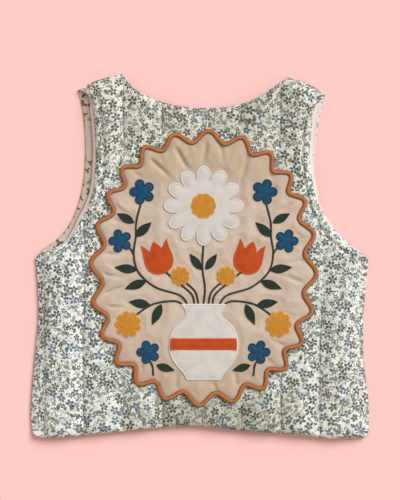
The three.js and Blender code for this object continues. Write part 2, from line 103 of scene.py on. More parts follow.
# Heights and thicknesses
FRONT_CLOTH = 3.4
LINING_Z = 3.7
LINING_CLOTH = 0.8
LINING_DROP = 0.7
ARMHOLE_DROP = {"left": 2.3, "right": 2.4}
ARMHOLE_DROP_REACH = {"left": 15, "right": 9}
SEAM_CURL = 4.2
SEAM_CURL_REACH = 12
FRONT_SEAM_CURL = 2.7
LINING_SEAM_CURL = 3.4
BACK_Z = 5.0
EDGE_CLOTH = 1.8
STITCHED_CLOTH = 2.2
PATCH_BED = 5.0
BED_UNDER_PATCH = 4.4
BED_BLEND = 0.08
FREE_ROLL = 8
SEAM_ROLL = 13
NECK_SAG = {"depth": 4, "x": 3.5, "half_width": 48, "y": 128, "length": 18}

SIDES = (("left", -1), ("right", 1))

# Quilting
STITCH_PITCH = 39.4
FIRST_STITCH_X = -156
STITCH_START = -178  # at the hem
STITCH_LINES = 9
STITCH_XS = [FIRST_STITCH_X + k * STITCH_PITCH for k in range(STITCH_LINES)]
PUFF_FULLNESS = 0.68
OUTER_PUFF = 0.15  # share of the puff outside the first and last lines
OUTER_STEP = 1.3  # how far the cloth steps down outside them
BROAD_RIPPLE = 42
SMALL_RIPPLE = 15
GROOVE_HALF_WIDTH = 0.9
PUCKER = {"beside": 3, "half_width": 4.5, "pitch": 8}
ARMHOLE_STITCH_IN = 7.5
ARMHOLE_GROOVE = {"depth": 2.8, "half_width": 1.6}
ARMHOLE_PUCKER = {"height": 0.35, "pitch": 7}
FRONT_GROOVE = {"depth": 0.8, "half_width": 1.6}

PUFFED_PATH = 1.04  # how much longer the back's cloth is than its outline, over its puffs

# The medallion
CENTRE = np.array([3.5, -12.0])
OVAL = {"half_width": 106, "half_height": 130, "fuller": 1.2, "squarer": 3.6, "waves": 24, "depth": 5.6}
DRAWN_IN = {"turn": 2.66, "half_width": 0.3, "depth": 3.6}  # at the upper left, by angle
# How far the waves come before their even places, as a share of a wave
WAVE_SHIFT = 0.14
WAVE_SWING = 0.13
CORD_HALF_WIDTH = 2.4
CORD_LOW, CORD_HIGH = 9.5, 13.05
CORD_SHOWN_HALF_WIDTH = 2.25
CORD_GIRTH = 12.4
PATCH_INSET = -1.9  # from the cord's middle to the patch's edge
PATCH_TOP = 11.6
PATCH_CLOTH = 0.9
PATCH_LOWEST = 9.95
RIDGE_LEVEL = 12.7  # above it the medallion's ridges rise less
RIDGE_SHARE = 0.3
MOTIF_BED = 11.7
APPLIQUE_SEAT = 0.12  # its edge's height over its bed
APPLIQUE_SUNK = 0.25  # its under side's depth below it
UPPER_MOTIF_BED = 12.85
UPPER_MOTIF_RISE = 0.9

# Between points of the panels' grids
SPACING = 2.1
FRONT_SPACING = 3.0


# Sizes and colours that a user may change


def srgb(red, green, blue):
    """A colour given as 0 to 255, as Blender's linear numbers."""
    shares = np.array([red, green, blue]) / 255
    linear = np.where(shares <= 0.04045, shares / 12.92, ((shares + 0.055) / 1.055) ** 2.4)
    return tuple(float(value) for value in linear)


def paint(red, green, blue):
    """The same with its alpha, for a shader."""
    return (*srgb(red, green, blue), 1.0)


def length(name, millimetres, description):
    return FloatProperty(
        name=name, description=description, default=millimetres * MM, unit="LENGTH", precision=5,
    )


def colour(name, red, green, blue, description):
    return FloatVectorProperty(
        name=name, description=description, default=srgb(red, green, blue), size=3,
        min=0, max=1, subtype="COLOR",
    )


class WaistcoatSizes(bpy.types.PropertyGroup):
    puff: length("Puff", 4.3, "Rise of a quilted channel above its lines of stitching")
    groove: length("Groove", 0.6, "Depth of the narrow groove that the quilting stitches lie in")
    pucker: length("Pucker", 0.42, "Height of the small puckers beside the stitching")
    ripple: length("Ripple", 0.75, "Height of the soft unevenness of the padded cloth")
    stitch: length("Stitch", 2.7, "Length of a quilting stitch")
    thread: length("Thread", 0.5, "Thickness of the quilting thread")
    pillow: length("Pillow", 1.1, "Rise of the medallion's ground between the shapes sewn on it")
    crease: length("Crease", 2.9, "Depth of the deepest creases of the medallion's ground")
    applique: length("Applique", 1.25, "Rise of a sewn-on shape above the ground")
    stem: length("Stem", 2.05, "Width of the embroidered stems")


class WaistcoatColours(bpy.types.PropertyGroup):
    ground: colour("Ground", 244, 244, 234, "Ground of the flowered cotton")
    ink: colour("Ink", 52, 57, 53, "Small dark flowers and dashes of the print")
    blue_print: colour("Blue print", 73, 102, 126, "Large flowers of the print")
    sage: colour("Sage", 112, 116, 94, "Leaves of the print")
    lining: colour("Lining", 215, 195, 179, "Ground of the lining")
    # Painted light: a lighter, lit copy of the lining, used on its plain rolled-out bands at the armholes and
    # on the right of the lining
    lining_edge: colour("Lining edge", 229, 219, 212, "Lining where it rolls out at the armholes")
    lining_print: colour("Lining print", 84, 68, 46, "Sprigs of the lining")
    patch: colour("Medallion", 210, 189, 170, "Ground of the medallion")
    cord: colour("Cord", 192, 118, 54, "Corded edge of the medallion")
    white: colour("White", 214, 208, 201, "White applique")
    orange: colour("Orange", 194, 72, 8, "Orange applique")
    blue: colour("Blue", 8, 74, 107, "Blue applique")
    mustard: colour("Mustard", 202, 130, 28, "Mustard applique")
    green: colour("Green", 36, 50, 37, "Leaves and stems")
    floor: colour("Floor", 252, 201, 197, "Floor")


def millimetres(name):
    """One of the waistcoat's sizes, in millimetres."""
    return getattr(bpy.context.scene.waistcoat_sizes, name) / MM


def tint(name):
    """One of the waistcoat's colours, with its alpha."""
    return (*getattr(bpy.context.scene.waistcoat_colours, name), 1.0)


# Curves and distances


def smooth(t):
    """0 up to t = 0, 1 from t = 1 on, and 3t² - 2t³ between."""
    t = np.clip(t, 0, 1)
    return t * t * (3 - 2 * t)


def round_over(t):
    """A quarter circle: the root of 1 - (1 - t)², 0 at t = 0 and 1 from t = 1 on."""
    return np.sqrt(1 - (1 - np.clip(t, 0, 1)) ** 2)


def bell(gap, half_width):
    """1 where there is no gap, falling off on both sides: e to the power -(gap / half width)²."""
    return np.exp(-((gap / half_width) ** 2))


def lengths_along(line):
    """How far each point of a line lies along it."""
    steps = np.linalg.norm(np.diff(line, axis=0), axis=1)
    return np.concatenate([[0], np.cumsum(steps)])


def evenly(line, count):
    """count + 1 points at even distances along a line."""
    line = np.asarray(line, float)
    run = lengths_along(line)
    at = np.linspace(0, run[-1], count + 1)
    return np.stack([np.interp(at, run, axis) for axis in line.T], axis=1)


def curve(table, pitch=1.0):
    """The uniform Catmull-Rom curve through a table's points, with points about a pitch apart."""
    points = np.asarray(table, float)
    last = len(points) - 1
    u = np.linspace(0, last, 40 * last + 1)
    i = np.minimum(u.astype(int), last - 1)
    t = (u - i)[:, None]
    before, start, end, after = (points[np.clip(i + k, 0, last)] for k in (-1, 0, 1, 2))
    line = start + t * (end - before) / 2
    line += t**2 * (before - 2.5 * start + 2 * end - after / 2)
    line += t**3 * (1.5 * start - before / 2 - 1.5 * end + after / 2)
    return evenly(line, int(np.ceil(lengths_along(line)[-1] / pitch)))


def joined(*tables):
    """Several tables' curves end to end."""
    return np.concatenate([curve(table)[1 if i else 0 :] for i, table in enumerate(tables)])


def distance(x, y, line):
    """Distance from each place to the nearest point of a line of straight pieces."""
    nearest = np.full(np.shape(x), np.inf)
    for a, b in zip(line[:-1], line[1:]):
        run = b - a
        t = np.clip(((x - a[0]) * run[0] + (y - a[1]) * run[1]) / max(run @ run, 1e-12), 0, 1)
        nearest = np.minimum(nearest, np.hypot(x - a[0] - t * run[0], y - a[1] - t * run[1]))
    return nearest


def distance_to_any(x, y, lines):
    return np.minimum.reduce([distance(x, y, line) for line in lines])


def inside(x, y, outline):
    """Whether each place lies in a closed outline: a ray from it crosses it an odd number of times."""
    odd = np.zeros(np.shape(x), bool)
    for a, b in zip(outline, np.roll(outline, -1, axis=0)):
        crosses = (a[1] > y) != (b[1] > y)
        rise = b[1] - a[1] if b[1] != a[1] else 1e-12
        odd ^= crosses & (x < a[0] + (y - a[1]) * (b[0] - a[0]) / rise)
    return odd


def area_of(outline):
    """The area inside a closed outline, by the shoelace sum."""
    following = np.roll(outline, -1, axis=0)
    return abs(np.sum(outline[:, 0] * following[:, 1] - following[:, 0] * outline[:, 1])) / 2


def ripples(x, y, wavelength, seed):
    """Soft unevenness, about -1 to 1: plane waves of several directions and lengths added together."""
    draw = np.random.default_rng(seed)
    total = np.zeros(np.broadcast(x, y).shape)
    waves = 9
    for _ in range(waves):
        turn, phase = draw.uniform(0, 2 * np.pi, 2)
        step = 2 * np.pi / (wavelength * draw.uniform(0.7, 1.5))
        total += np.sin(step * (x * np.cos(turn) + y * np.sin(turn)) + phase)
    return total / np.sqrt(2 * waves)


def creases(x, y, table):
    """Soft troughs and ridges: across each a bell, along each a smooth rise and fall.

    A row holds x and y of its start, its length, its turn in degrees, its half width and its rise.
    """
    total = np.zeros(np.shape(x))
    for start_x, start_y, run, turn, half_width, rise in table:
        c, s = np.cos(np.radians(turn)), np.sin(np.radians(turn))
        along = ((x - start_x) * c + (y - start_y) * s) / run
        across = (y - start_y) * c - (x - start_x) * s
        fade = smooth(along / 0.25 + 0.3) * smooth((1 - along) / 0.7)
        total += rise * bell(across, half_width) * fade
    return total


# Meshes


def normals_of(line, closed):
    """The unit vector to the right of a line's run at each of its points."""
    if closed:
        ring = line[:-1]
        run = np.roll(ring, -1, axis=0) - np.roll(ring, 1, axis=0)
        run = np.concatenate([run, run[:1]])
    else:
        run = np.gradient(line, axis=0)
    run = run / np.maximum(np.hypot(run[:, 0], run[:, 1]), 1e-9)[:, None]
    return np.stack([run[:, 1], -run[:, 0]], axis=1)


def grid_faces(rows, columns, first=0):
    """Two triangles for each cell of a grid of rows by columns, numbered from first."""
    corner = np.arange((rows - 1) * columns).reshape(rows - 1, columns)[:, :-1].ravel() + first
    a, b, c, d = corner, corner + 1, corner + columns + 1, corner + columns
    return np.concatenate([np.stack([a, b, c], axis=1), np.stack([a, c, d], axis=1)])


class Surface:
    """Grids of points gathered into one closed mesh, whose seams and poles are welded."""

    def __init__(self):
        self.points, self.uvs, self.faces, self.finishes, self.count = [], [], [], [], 0

    def add(self, points, uv, finish=0, flip=False):
        """Adds a grid of points, rows by columns by 3, with uv in millimetres of flat cloth."""
        rows, columns = points.shape[:2]
        faces = grid_faces(rows, columns, self.count)
        self.faces.append(faces[:, ::-1] if flip else faces)
        self.finishes.append(np.broadcast_to(np.asarray(finish), len(faces)))
        self.points.append(points.reshape(-1, 3))
        self.uvs.append(uv.reshape(-1, 2))
        self.count += rows * columns
        return self

    def welded(self):
        """Points nearer than a thousandth of a millimetre become one, and faces with no width go."""
        points, uvs = np.concatenate(self.points), np.concatenate(self.uvs)
        faces, finishes = np.concatenate(self.faces), np.concatenate(self.finishes)
        _, kept, number = np.unique(np.round(points * 1000).astype(np.int64), axis=0,
                                    return_index=True, return_inverse=True)
        merged = number.reshape(-1)[faces]
        whole = np.all(merged != np.roll(merged, -1, axis=1), axis=1)
        points, merged, corner_uvs = points[kept], merged[whole], uvs[faces[whole]]
        a, b, c = (points[merged[:, k]] for k in range(3))
        if np.sum(a * np.cross(b, c)) < 0:
            merged, corner_uvs = merged[:, ::-1], corner_uvs[:, ::-1]
        return points, merged, corner_uvs.reshape(-1, 2), finishes[whole]

    def piece(self, name, slot, materials):
        """The finished object, riding on the garment's body."""
        points, faces, uvs, finishes = self.welded()
        mesh = bpy.data.meshes.new(name)
        mesh.from_pydata(((points + MIDDLE) * MM).tolist(), [], faces.tolist())
        layer = mesh.uv_layers.new(name="cloth")
        layer.uv.foreach_set("vector", (uvs * MM + MAP_MIDDLE).astype(np.float32).ravel())
        for material in materials:
            mesh.materials.append(material)
        mesh.polygons.foreach_set("material_index", finishes.astype(np.int32))
        mesh.shade_smooth()
        mesh.update()
        made = bpy.data.objects.new(name, mesh)
        bpy.context.scene.collection.objects.link(made)
        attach(made, "root")
        return made


def rim_of(grid, polar):
    """The points round a grid's border, counter-clockwise and closed; a polar grid's is its last row."""
    if polar:
        return grid[-1]
    return np.concatenate([grid[0], grid[1:, -1], grid[-1, -2::-1], grid[-2::-1, 0]])


def shell(top, under, uv, polar=False, bow=0.35, finish=0, under_finish=0, wall_finish=None, rings=3):
    """A closed piece of cloth between a grid of points facing up and one below it.

    The wall round it runs straight from rim to rim, bowed outwards by a half sine.
    """
    made = Surface()
    made.add(top, uv, finish)
    made.add(under, under[..., :2], under_finish, flip=True)
    high, low, flat = rim_of(top, polar), rim_of(under, polar), rim_of(uv, polar)
    outwards = normals_of(high[:, :2], closed=True)
    down = np.linspace(0, 1, rings + 2)[:, None, None]
    wall = high + (low - high) * down
    bowed = np.sin(np.pi * down) * bow * outwards
    wall[..., :2] += bowed
    depth = np.linalg.norm(low - high, axis=1)[:, None]
    wall_uv = flat + outwards * depth * down
    if wall_finish is None:
        faces = finish if np.isscalar(finish) else 0
    else:
        middle = (wall[:-1, :-1] + wall[1:, 1:]) / 2
        faces = np.tile(wall_finish(middle[..., 0], middle[..., 1]).ravel(), 2)
    made.add(wall, wall_uv, faces, flip=True)
    return made


def swept(path, height, section, scale):
    """A closed section carried along a path. Each point is the path's, moved across it and up by the
    section's numbers times the scale at that step. A path that ends narrows to a point."""
    closed = np.allclose(path[0], path[-1])
    across = normals_of(path, closed)
    loop = np.concatenate([section, section[:1]])
    width = scale[:, None] * loop[None, :, 0]
    points = np.zeros((len(path), len(loop), 3))
    points[..., :2] = path[:, None, :] + across[:, None, :] * width[..., None]
    points[..., 2] = height[:, None] + scale[:, None] * loop[None, :, 1]
    run = lengths_along(path)
    girth = lengths_along(loop)
    uv = np.stack(np.meshgrid(run, girth, indexing="ij"), axis=-1)
    return points, uv


def oval_section(half_width, low, high, count):
    """Points round a flattened oval, from its lowest height to its highest."""
    turn = np.linspace(0, 2 * np.pi, count, endpoint=False)
    return np.stack([half_width * np.cos(turn), (high + low) / 2 + (high - low) / 2 * np.sin(turn)], axis=1)


BEAD_RINGS, BEAD_SIDES = 5, 6


def beads(made, places, runs, size):
    """Adds many small threads: ovals size[0] long, size[1] wide and size[2] high, each along its run."""
    around = np.linspace(0, 2 * np.pi, BEAD_SIDES + 1)
    over = np.linspace(0, np.pi, BEAD_RINGS)
    form = np.stack(
        [
            -np.cos(over)[:, None] * np.ones_like(around),
            np.sin(over)[:, None] ** 0.7 * np.cos(around),
            np.sin(over)[:, None] ** 0.7 * np.sin(around),
        ],
        axis=-1,
    ) * (np.array(size) / 2)
    along = runs / np.linalg.norm(runs, axis=1)[:, None]
    across = np.cross(np.array([0.0, 0.0, 1.0]), along)
    across /= np.linalg.norm(across, axis=1)[:, None]
    up = np.cross(along, across)
    axes = np.stack([along, across, up], axis=1)
    for place, turn in zip(places, axes):
        points = place + form @ turn
        made.add(points, points[..., :2])
    return made


# Shaders


class Wire:
    """A shader socket that takes part in sums. Each operator adds one Math node."""

    def __init__(self, graph, socket):
        self.graph = graph
        self.socket = socket

    def math(self, operation, *others):
        inputs = dict(enumerate([self, *others]))
        return self.graph.add("ShaderNodeMath", {"operation": operation}, inputs)[0]

    def turned_math(self, operation, other):
        return self.graph.add("ShaderNodeMath", {"operation": operation}, {0: other, 1: self})[0]

    def __add__(self, other):
        return self.math("ADD", other)

    __radd__ = __add__

    def __sub__(self, other):
        return self.math("SUBTRACT", other)

    def __rsub__(self, other):
        return self.turned_math("SUBTRACT", other)

    def __mul__(self, other):
        return self.math("MULTIPLY", other)

    __rmul__ = __mul__

    def __truediv__(self, other):
        return self.math("DIVIDE", other)

    def __pow__(self, other):
        return self.math("POWER", other)

    def __lt__(self, other):
        return self.math("LESS_THAN", other)

    def ramp(self, start, end):
        """0 at start, 1 at end and smooth between them; start may be the larger."""
        sockets = {"Value": self, "From Min": start, "From Max": end, "To Min": 0.0, "To Max": 1.0}
        return self.graph.add("ShaderNodeMapRange", {"interpolation_type": "SMOOTHSTEP"}, sockets)[0]


class Outputs:
    """A node's outputs as wires, by name or number."""

    def __init__(self, graph, node):
        self.graph = graph
        self.node = node

    def __getitem__(self, key):
        return Wire(self.graph, self.node.outputs[key])


class Graph:
    """A material whose nodes are added by expressions."""

    def __init__(self, name):
        self.material = bpy.data.materials.new(name)
        self.material.use_nodes = True
        self.tree = self.material.node_tree
        self.tree.nodes.clear()

    def add(self, kind, settings=None, sockets=None):
        """Adds a node of a kind: first its settings, then its sockets' values or links."""
        node = self.tree.nodes.new(kind)
        for name, value in (settings or {}).items():
            setattr(node, name, value)
        for key, value in (sockets or {}).items():
            if isinstance(value, Wire):
                self.tree.links.new(value.socket, node.inputs[key])
            else:
                node.inputs[key].default_value = value
        return Outputs(self, node)

    def vector(self, operation, first, second):
        return self.add("ShaderNodeVectorMath", {"operation": operation}, {0: first, 1: second})[0]

    def split(self, vector):
        parts = self.add("ShaderNodeSeparateXYZ", None, {0: vector})
        return parts[0], parts[1], parts[2]

    def mix(self, share, first, second, blend="MIX"):
        settings = {"data_type": "RGBA", "blend_type": blend, "clamp_factor": True}
        return self.add("ShaderNodeMix", settings, {0: share, 6: first, 7: second})[2]

    def in_millimetres(self, metres):
        return self.add("ShaderNodeVectorMath", {"operation": "SCALE"}, {0: metres, "Scale": 1 / MM})[0]

    def place(self):
        """The place in space, in millimetres."""
        return self.in_millimetres(self.add("ShaderNodeTexCoord")["Object"])

    def flat_cloth(self):
        """The place on the flat cloth, in millimetres, from the piece's own map."""
        found = self.add("ShaderNodeUVMap", {"uv_map": "cloth"})[0]
        return self.in_millimetres(self.vector("SUBTRACT", found, (MAP_MIDDLE, MAP_MIDDLE, 0)))

    def noise(self, place, size, detail=2.0, dimensions="3D"):
        """Noise from 0 to 1, whose spots are about a size in millimetres across."""
        sockets = {"Vector": place, "Scale": 1 / size, "Detail": detail}
        return self.add("ShaderNodeTexNoise", {"noise_dimensions": dimensions}, sockets)[0]

    def weave(self, place, pitch):
        """Height of a plain weave: threads one way and the other, each a sine, multiplied."""
        x, y, _ = self.split(place)
        step = 2 * np.pi / pitch
        return (x * step).math("SINE") * (y * step).math("SINE")

    def finish(self, base, roughness, height=None, depth=0.05, **constants):
        """Ends the material. height in 0 to 1 stands out by depth, in millimetres."""
        shader = self.add("ShaderNodeBsdfPrincipled", None, {"Base Color": base, "Roughness": roughness})
        for name, value in constants.items():
            shader.node.inputs[name.replace("_", " ")].default_value = value
        if height is not None:
            sockets = {"Height": height, "Distance": depth * MM, "Strength": 1.0}
            bump = self.add("ShaderNodeBump", None, sockets)
            self.tree.links.new(bump[0].socket, shader.node.inputs["Normal"])
        self.add("ShaderNodeOutputMaterial", None, {"Surface": shader[0]})
        return self.material


class Scatter:
    """Motifs scattered over the cloth, one to a cell at most, each turned and sized its own way."""

    def __init__(self, graph, place, cell, jitter, turn, share, vary=0.3):
        self.graph, self.cell, self.jitter, self.turn, self.share = graph, cell, jitter, turn, share
        self.found = self.nearest(place)
        offset = graph.vector("SUBTRACT", self.turned(place), self.found["Position"])
        x, y, _ = graph.split(offset)
        parts = graph.add("ShaderNodeSeparateColor", None, {0: self.found["Color"]})
        self.chances = (parts[0], parts[1], parts[2])
        self.present = self.chances[1] < share
        size = (self.chances[0] * 7).math("FRACT") * (2 * vary) + (1 - vary)
        self.reach = (x * x + y * y) ** 0.5 / size
        self.angle = y.math("ARCTAN2", x) + self.chances[0] * (2 * np.pi)
        back = {"rotation_type": "Z_AXIS", "invert": True}
        sockets = {"Vector": self.found["Position"], "Angle": turn}
        self.centre = graph.add("ShaderNodeVectorRotate", back, sockets)[0]

    def turned(self, place):
        sockets = {"Vector": place, "Angle": self.turn}
        return self.graph.add("ShaderNodeVectorRotate", {"rotation_type": "Z_AXIS"}, sockets)[0]

    def nearest(self, place):
        sockets = {"Vector": self.turned(place), "Scale": 1 / self.cell, "Randomness": self.jitter}
        return self.graph.add("ShaderNodeTexVoronoi", {"voronoi_dimensions": "2D"}, sockets)

    def clear(self, place, reach):
        """1 where no such motif lies nearer to the place than a reach in millimetres."""
        found = self.nearest(place)
        parts = self.graph.add("ShaderNodeSeparateColor", None, {0: found["Color"]})
        return 1 - (found["Distance"] < reach / self.cell) * (parts[1] < self.share)

    def petals(self, count, middle, half_length, half_width, soft=0.3, gap=0.0):
        """A ring of ovals round the motif's middle, where ((r-m)/l)² + (s/w)² is under 1, with a gap
        between each two."""
        fold = self.angle.math("PINGPONG", np.pi / count)
        ahead = (self.reach * fold.math("COSINE") - middle) / half_length
        aside = self.reach * fold.math("SINE") / half_width
        shape = (ahead * ahead + aside * aside).ramp(1 + soft, 1 - soft)
        if gap:
            shape = shape * (self.reach * (np.pi / count - fold).math("SINE")).ramp(gap * 0.5, gap * 1.5)
        return shape

    def leaf(self, half_length, half_width, soft=0.15):
        """A pointed leaf, and its dark rim and vein."""
        ahead = self.reach * self.angle.math("COSINE") / half_length
        aside = (self.reach * self.angle.math("SINE")).math("ABSOLUTE")
        room = (1 - ahead * ahead) * half_width - aside
        return room.ramp(-soft, soft), aside.ramp(0.3, 0.1).math("MAXIMUM", room.ramp(0.55, 0.3))


def flowered_cotton():
    """Printed cotton: blue and charcoal flowers, sage leaves and dashes on an off-white ground."""
    graph = Graph("flowered cotton")
    place = graph.flat_cloth()
    # The cell that one motif lies in, how far it strays, the cells' turn, the share of cells that
    # hold one, and how much its size varies
    blooms = Scatter(graph, place, 11.0, 0.62, 0.35, 0.62, 0.12)
    small = Scatter(graph, place, 6.8, 0.7, 1.1, 0.43, 0.2)
    leaves = Scatter(graph, place, 6.6, 0.7, 2.0, 0.75, 0.2)
    slim_leaves = Scatter(graph, place, 4.4, 0.7, 0.1, 0.7, 0.2)
    dashes = Scatter(graph, place, 2.5, 0.8, 0.75, 0.74, 0.3)
    outlines = Scatter(graph, place, 8.0, 0.7, 2.7, 0.75)
    seeds = Scatter(graph, place, 1.9, 0.9, 2.3, 0.38)

    bloom = blooms.petals(5, 2.45, 2.0, 1.28, 0.25, 0.2) * blooms.present
    floret = small.petals(5, 1.55, 1.25, 0.8, 0.25, 0.16) * small.present * blooms.clear(small.centre, 5.2)
    leaf, rim = leaves.leaf(3.15, 1.65)
    leaf = leaf * leaves.present * blooms.clear(leaves.centre, 4.8) * small.clear(leaves.centre, 3.3)
    slim, _ = slim_leaves.leaf(2.1, 0.85)
    slim = slim * slim_leaves.present * blooms.clear(slim_leaves.centre, 4.6)
    slim = slim * small.clear(slim_leaves.centre, 3.2) * leaves.clear(slim_leaves.centre, 3.1)
    dash = dashes.petals(1, 0.2, 1.15, 0.46, 0.25) * dashes.present
    dash = dash * blooms.clear(dashes.centre, 4.4) * small.clear(dashes.centre, 3.0)
    dash = dash * leaves.clear(dashes.centre, 3.0) * slim_leaves.clear(dashes.centre, 1.5)
    line = outlines.petals(6, 2.0, 1.6, 0.8, 0.4) * outlines.present
    seed = seeds.petals(1, 0.0, 0.6, 0.42, 0.3) * seeds.present

    wear = graph.noise(place, 40, 2.0, "2D").ramp(0.35, 0.7) * 0.3
    ground = graph.mix(wear, tint("ground"), paint(232, 231, 219))
    # Painted light and shade on the ground: painted light makes it whitest at the left, painted shade makes
    # it warmer and darker near the neck and dims the middle of the hem and of the neck
    x, y, _ = graph.split(place)
    upper = y.ramp(70, 130)
    ground = graph.mix(x.ramp(-70, -125) * 0.8, ground, paint(251, 253, 248))
    ground = graph.mix(upper * 0.6, ground, paint(236, 229, 208))
    dim = (x - 20).math("ABSOLUTE").ramp(105, 30) * (y.ramp(-118, -160) + y.ramp(110, 140) * 0.55)
    ground = graph.mix(dim, ground, paint(204, 199, 181))
    pale = graph.mix(line * 0.3, ground, tint("ink"))
    green = graph.mix(leaves.chances[2] * 0.4, tint("sage"), tint("ground"))
    green = graph.mix(rim * 0.6, green, tint("ink"))
    deep = graph.mix(small.chances[2].ramp(0.55, 0.95), tint("ink"), paint(76, 92, 106))
    # Painted shade: near the neck the print's large flowers are drawn darker
    dark = (blooms.chances[2] + upper * 0.25).ramp(0.28, 0.5)
    tone = graph.mix(dark, tint("blue_print"), paint(56, 64, 64))
    tone = graph.mix((blooms.chances[2] + upper * 0.2).ramp(0.3, 0.1) * 0.7, tone, paint(66, 98, 112))
    pale = graph.mix(seed * 0.45, pale, tint("ink"))
    printed = graph.mix(leaf, pale, green)
    printed = graph.mix(slim * (0.6 + slim_leaves.chances[2] * 0.35), printed, paint(74, 80, 66))
    printed = graph.mix(dash * (0.55 + dashes.chances[2] * 0.45), printed, tint("ink"))
    printed = graph.mix(floret * 0.94, printed, deep)
    printed = graph.mix(bloom * 0.94, printed, tone)
    thread = graph.noise(place, 0.5, 1.0, "2D")
    printed = graph.mix(thread * 0.1, printed, (0.35, 0.35, 0.33, 1))
    height = graph.weave(place, 0.55) * 0.5 + graph.noise(place, 3.0, 3.0, "2D")
    return graph.finish(printed, 0.85, height, 0.14, Sheen_Weight=0.12, Specular_IOR_Level=0.25)


def sprigged_lining():
    """Beige lining cotton with small scattered brown sprigs."""
    graph = Graph("sprigged lining")
    place = graph.place()
    sprigs = Scatter(graph, place, 9.5, 0.5, 0.5, 0.9)
    seeds = Scatter(graph, place, 5.5, 0.7, 1.4, 0.35)
    sprig = sprigs.petals(3, 2.0, 2.0, 1.15) * sprigs.present
    seed = seeds.petals(2, 0.8, 0.9, 0.45) * seeds.present
    ground = graph.mix(graph.noise(place, 25).ramp(0.3, 0.75) * 0.3, tint("lining"), (0.52, 0.42, 0.33, 1))
    # Painted light: towards the right the lining's ground turns to the lighter lit lining colour and its
    # sprigs pale
    painted_light_share = graph.split(place)[0].ramp(60, 112)
    ground = graph.mix(painted_light_share * 0.85, ground, tint("lining_edge"))
    tone = graph.mix(sprigs.chances[2].ramp(0.4, 0.8), tint("lining_print"), (0.27, 0.26, 0.17, 1))
    printed = graph.mix(sprig * (0.92 - painted_light_share * 0.35), ground, tone)
    printed = graph.mix(seed * (0.5 - painted_light_share * 0.3), printed, tint("lining_print"))
    height = graph.weave(place, 0.5) * 0.5 + graph.noise(place, 4.0)
    return graph.finish(printed, 0.85, height, 0.1, Sheen_Weight=0.1, Specular_IOR_Level=0.25)


def plain_cotton(name, base, deep, pitch=0.55, mottle=18, ends=0.0):
    """Plain woven cotton, a little uneven in tone, with flecks along its threads. ends is how much
    painted shade deepens it towards the medallion's top and bottom."""
    graph = Graph(name)
    place = graph.place()
    stretched = graph.add("ShaderNodeMapping", None, {"Vector": place, "Scale": (0.25, 2.4, 1.0)})[0]
    flecks = graph.noise(stretched, 1.2, 3.0)
    tone = graph.mix(graph.noise(place, mottle, 3.0).ramp(0.3, 0.75) * 0.4, base, deep)
    tone = graph.mix(flecks.ramp(0.45, 0.75) * 0.25, tone, deep)
    if ends:
        # Painted shade: deeper towards the medallion's top and bottom
        away = (graph.split(place)[1] - float(CENTRE[1])).math("ABSOLUTE")
        tone = graph.mix(away.ramp(45, 115) * ends, tone, deep)
    height = graph.weave(place, pitch) * 0.4 + flecks * 0.6 + graph.noise(place, 3.0)
    return graph.finish(tone, 0.88, height, 0.12, Sheen_Weight=0.1, Specular_IOR_Level=0.2)


def satin_thread(name, base, deep, pitch=0.45, slant=0.35, roughness=0.5, girth=None):
    """Thread laid side by side across a cord or stem. The map's numbers run along it and round it;
    painted shade deepens its tone in the grooves between the threads, and where its girth is given,
    painted shade darkens its sides and leaves its crown lighter, as a painted highlight."""
    graph = Graph(name)
    x, y, _ = graph.split(graph.flat_cloth())
    turns = (x + y * slant) * (2 * np.pi / pitch)
    ridge = turns.math("SINE") * 0.5 + 0.5
    place = graph.place()
    # Painted shade: the tone is deeper in the grooves between the laid threads
    tone = graph.mix(0.55 + ridge * 0.45, deep, base)
    if girth:
        # Painted shade on the sides and a painted highlight on the crown
        tone = graph.mix((y * (2 * np.pi / girth)).math("SINE").ramp(0.99, 0.35) * 0.9, tone, deep)
    tone = graph.mix(graph.noise(place, 5.0).ramp(0.35, 0.75) * 0.25, tone, deep)
    height = ridge + graph.noise(place, 0.6) * 0.3
    return graph.finish(tone, roughness, height, 0.10, Sheen_Weight=0.1, Specular_IOR_Level=0.35)


def applique_cotton(name, base, deep, edge, band=1.5, looped=False):
    """Sewn-on cotton with a stitched edge and a fine line of stitches inside it. The map's numbers are
    the run along the edge and the distance in from it. looped covers it in small curls of thread."""
    graph = Graph(name)
    along, inwards, _ = graph.split(graph.flat_cloth())
    place = graph.place()
    at_edge = inwards.ramp(band + 0.15, band - 0.15)
    flecks = graph.noise(place, 0.9, 3.0)
    tone = graph.mix(graph.noise(place, 9.0, 2.0).ramp(0.35, 0.75) * 0.45, base, deep)
    tone = graph.mix(flecks.ramp(0.5, 0.8) * 0.2, tone, deep)
    stitches = (along * (2 * np.pi / 0.5)).math("SINE") * 0.5 + 0.5
    relief = graph.weave(place, 0.5) * 0.3 + flecks * 0.5
    if looped:
        swirl = graph.noise(place, 4.0, 1.0)
        curls = ((swirl * 60.0).math("SINE") * 0.5 + 0.5).ramp(0.2, 0.9)
        tone = graph.mix(curls * 0.35, tone, edge)
        relief = relief + curls * 1.2
    contour = (inwards - band - 0.1).math("ABSOLUTE").ramp(0.4, 0.15) * (stitches * 0.5 + 0.5)
    tone = graph.mix(contour * 0.6, tone, deep)
    tone = graph.mix(at_edge, tone, graph.mix(stitches * 0.4, edge, base))
    height = (1 - at_edge) * relief + at_edge * stitches * 0.8 - contour * 0.8
    return graph.finish(tone, 0.72, height, 0.14, Sheen_Weight=0.12, Specular_IOR_Level=0.25)


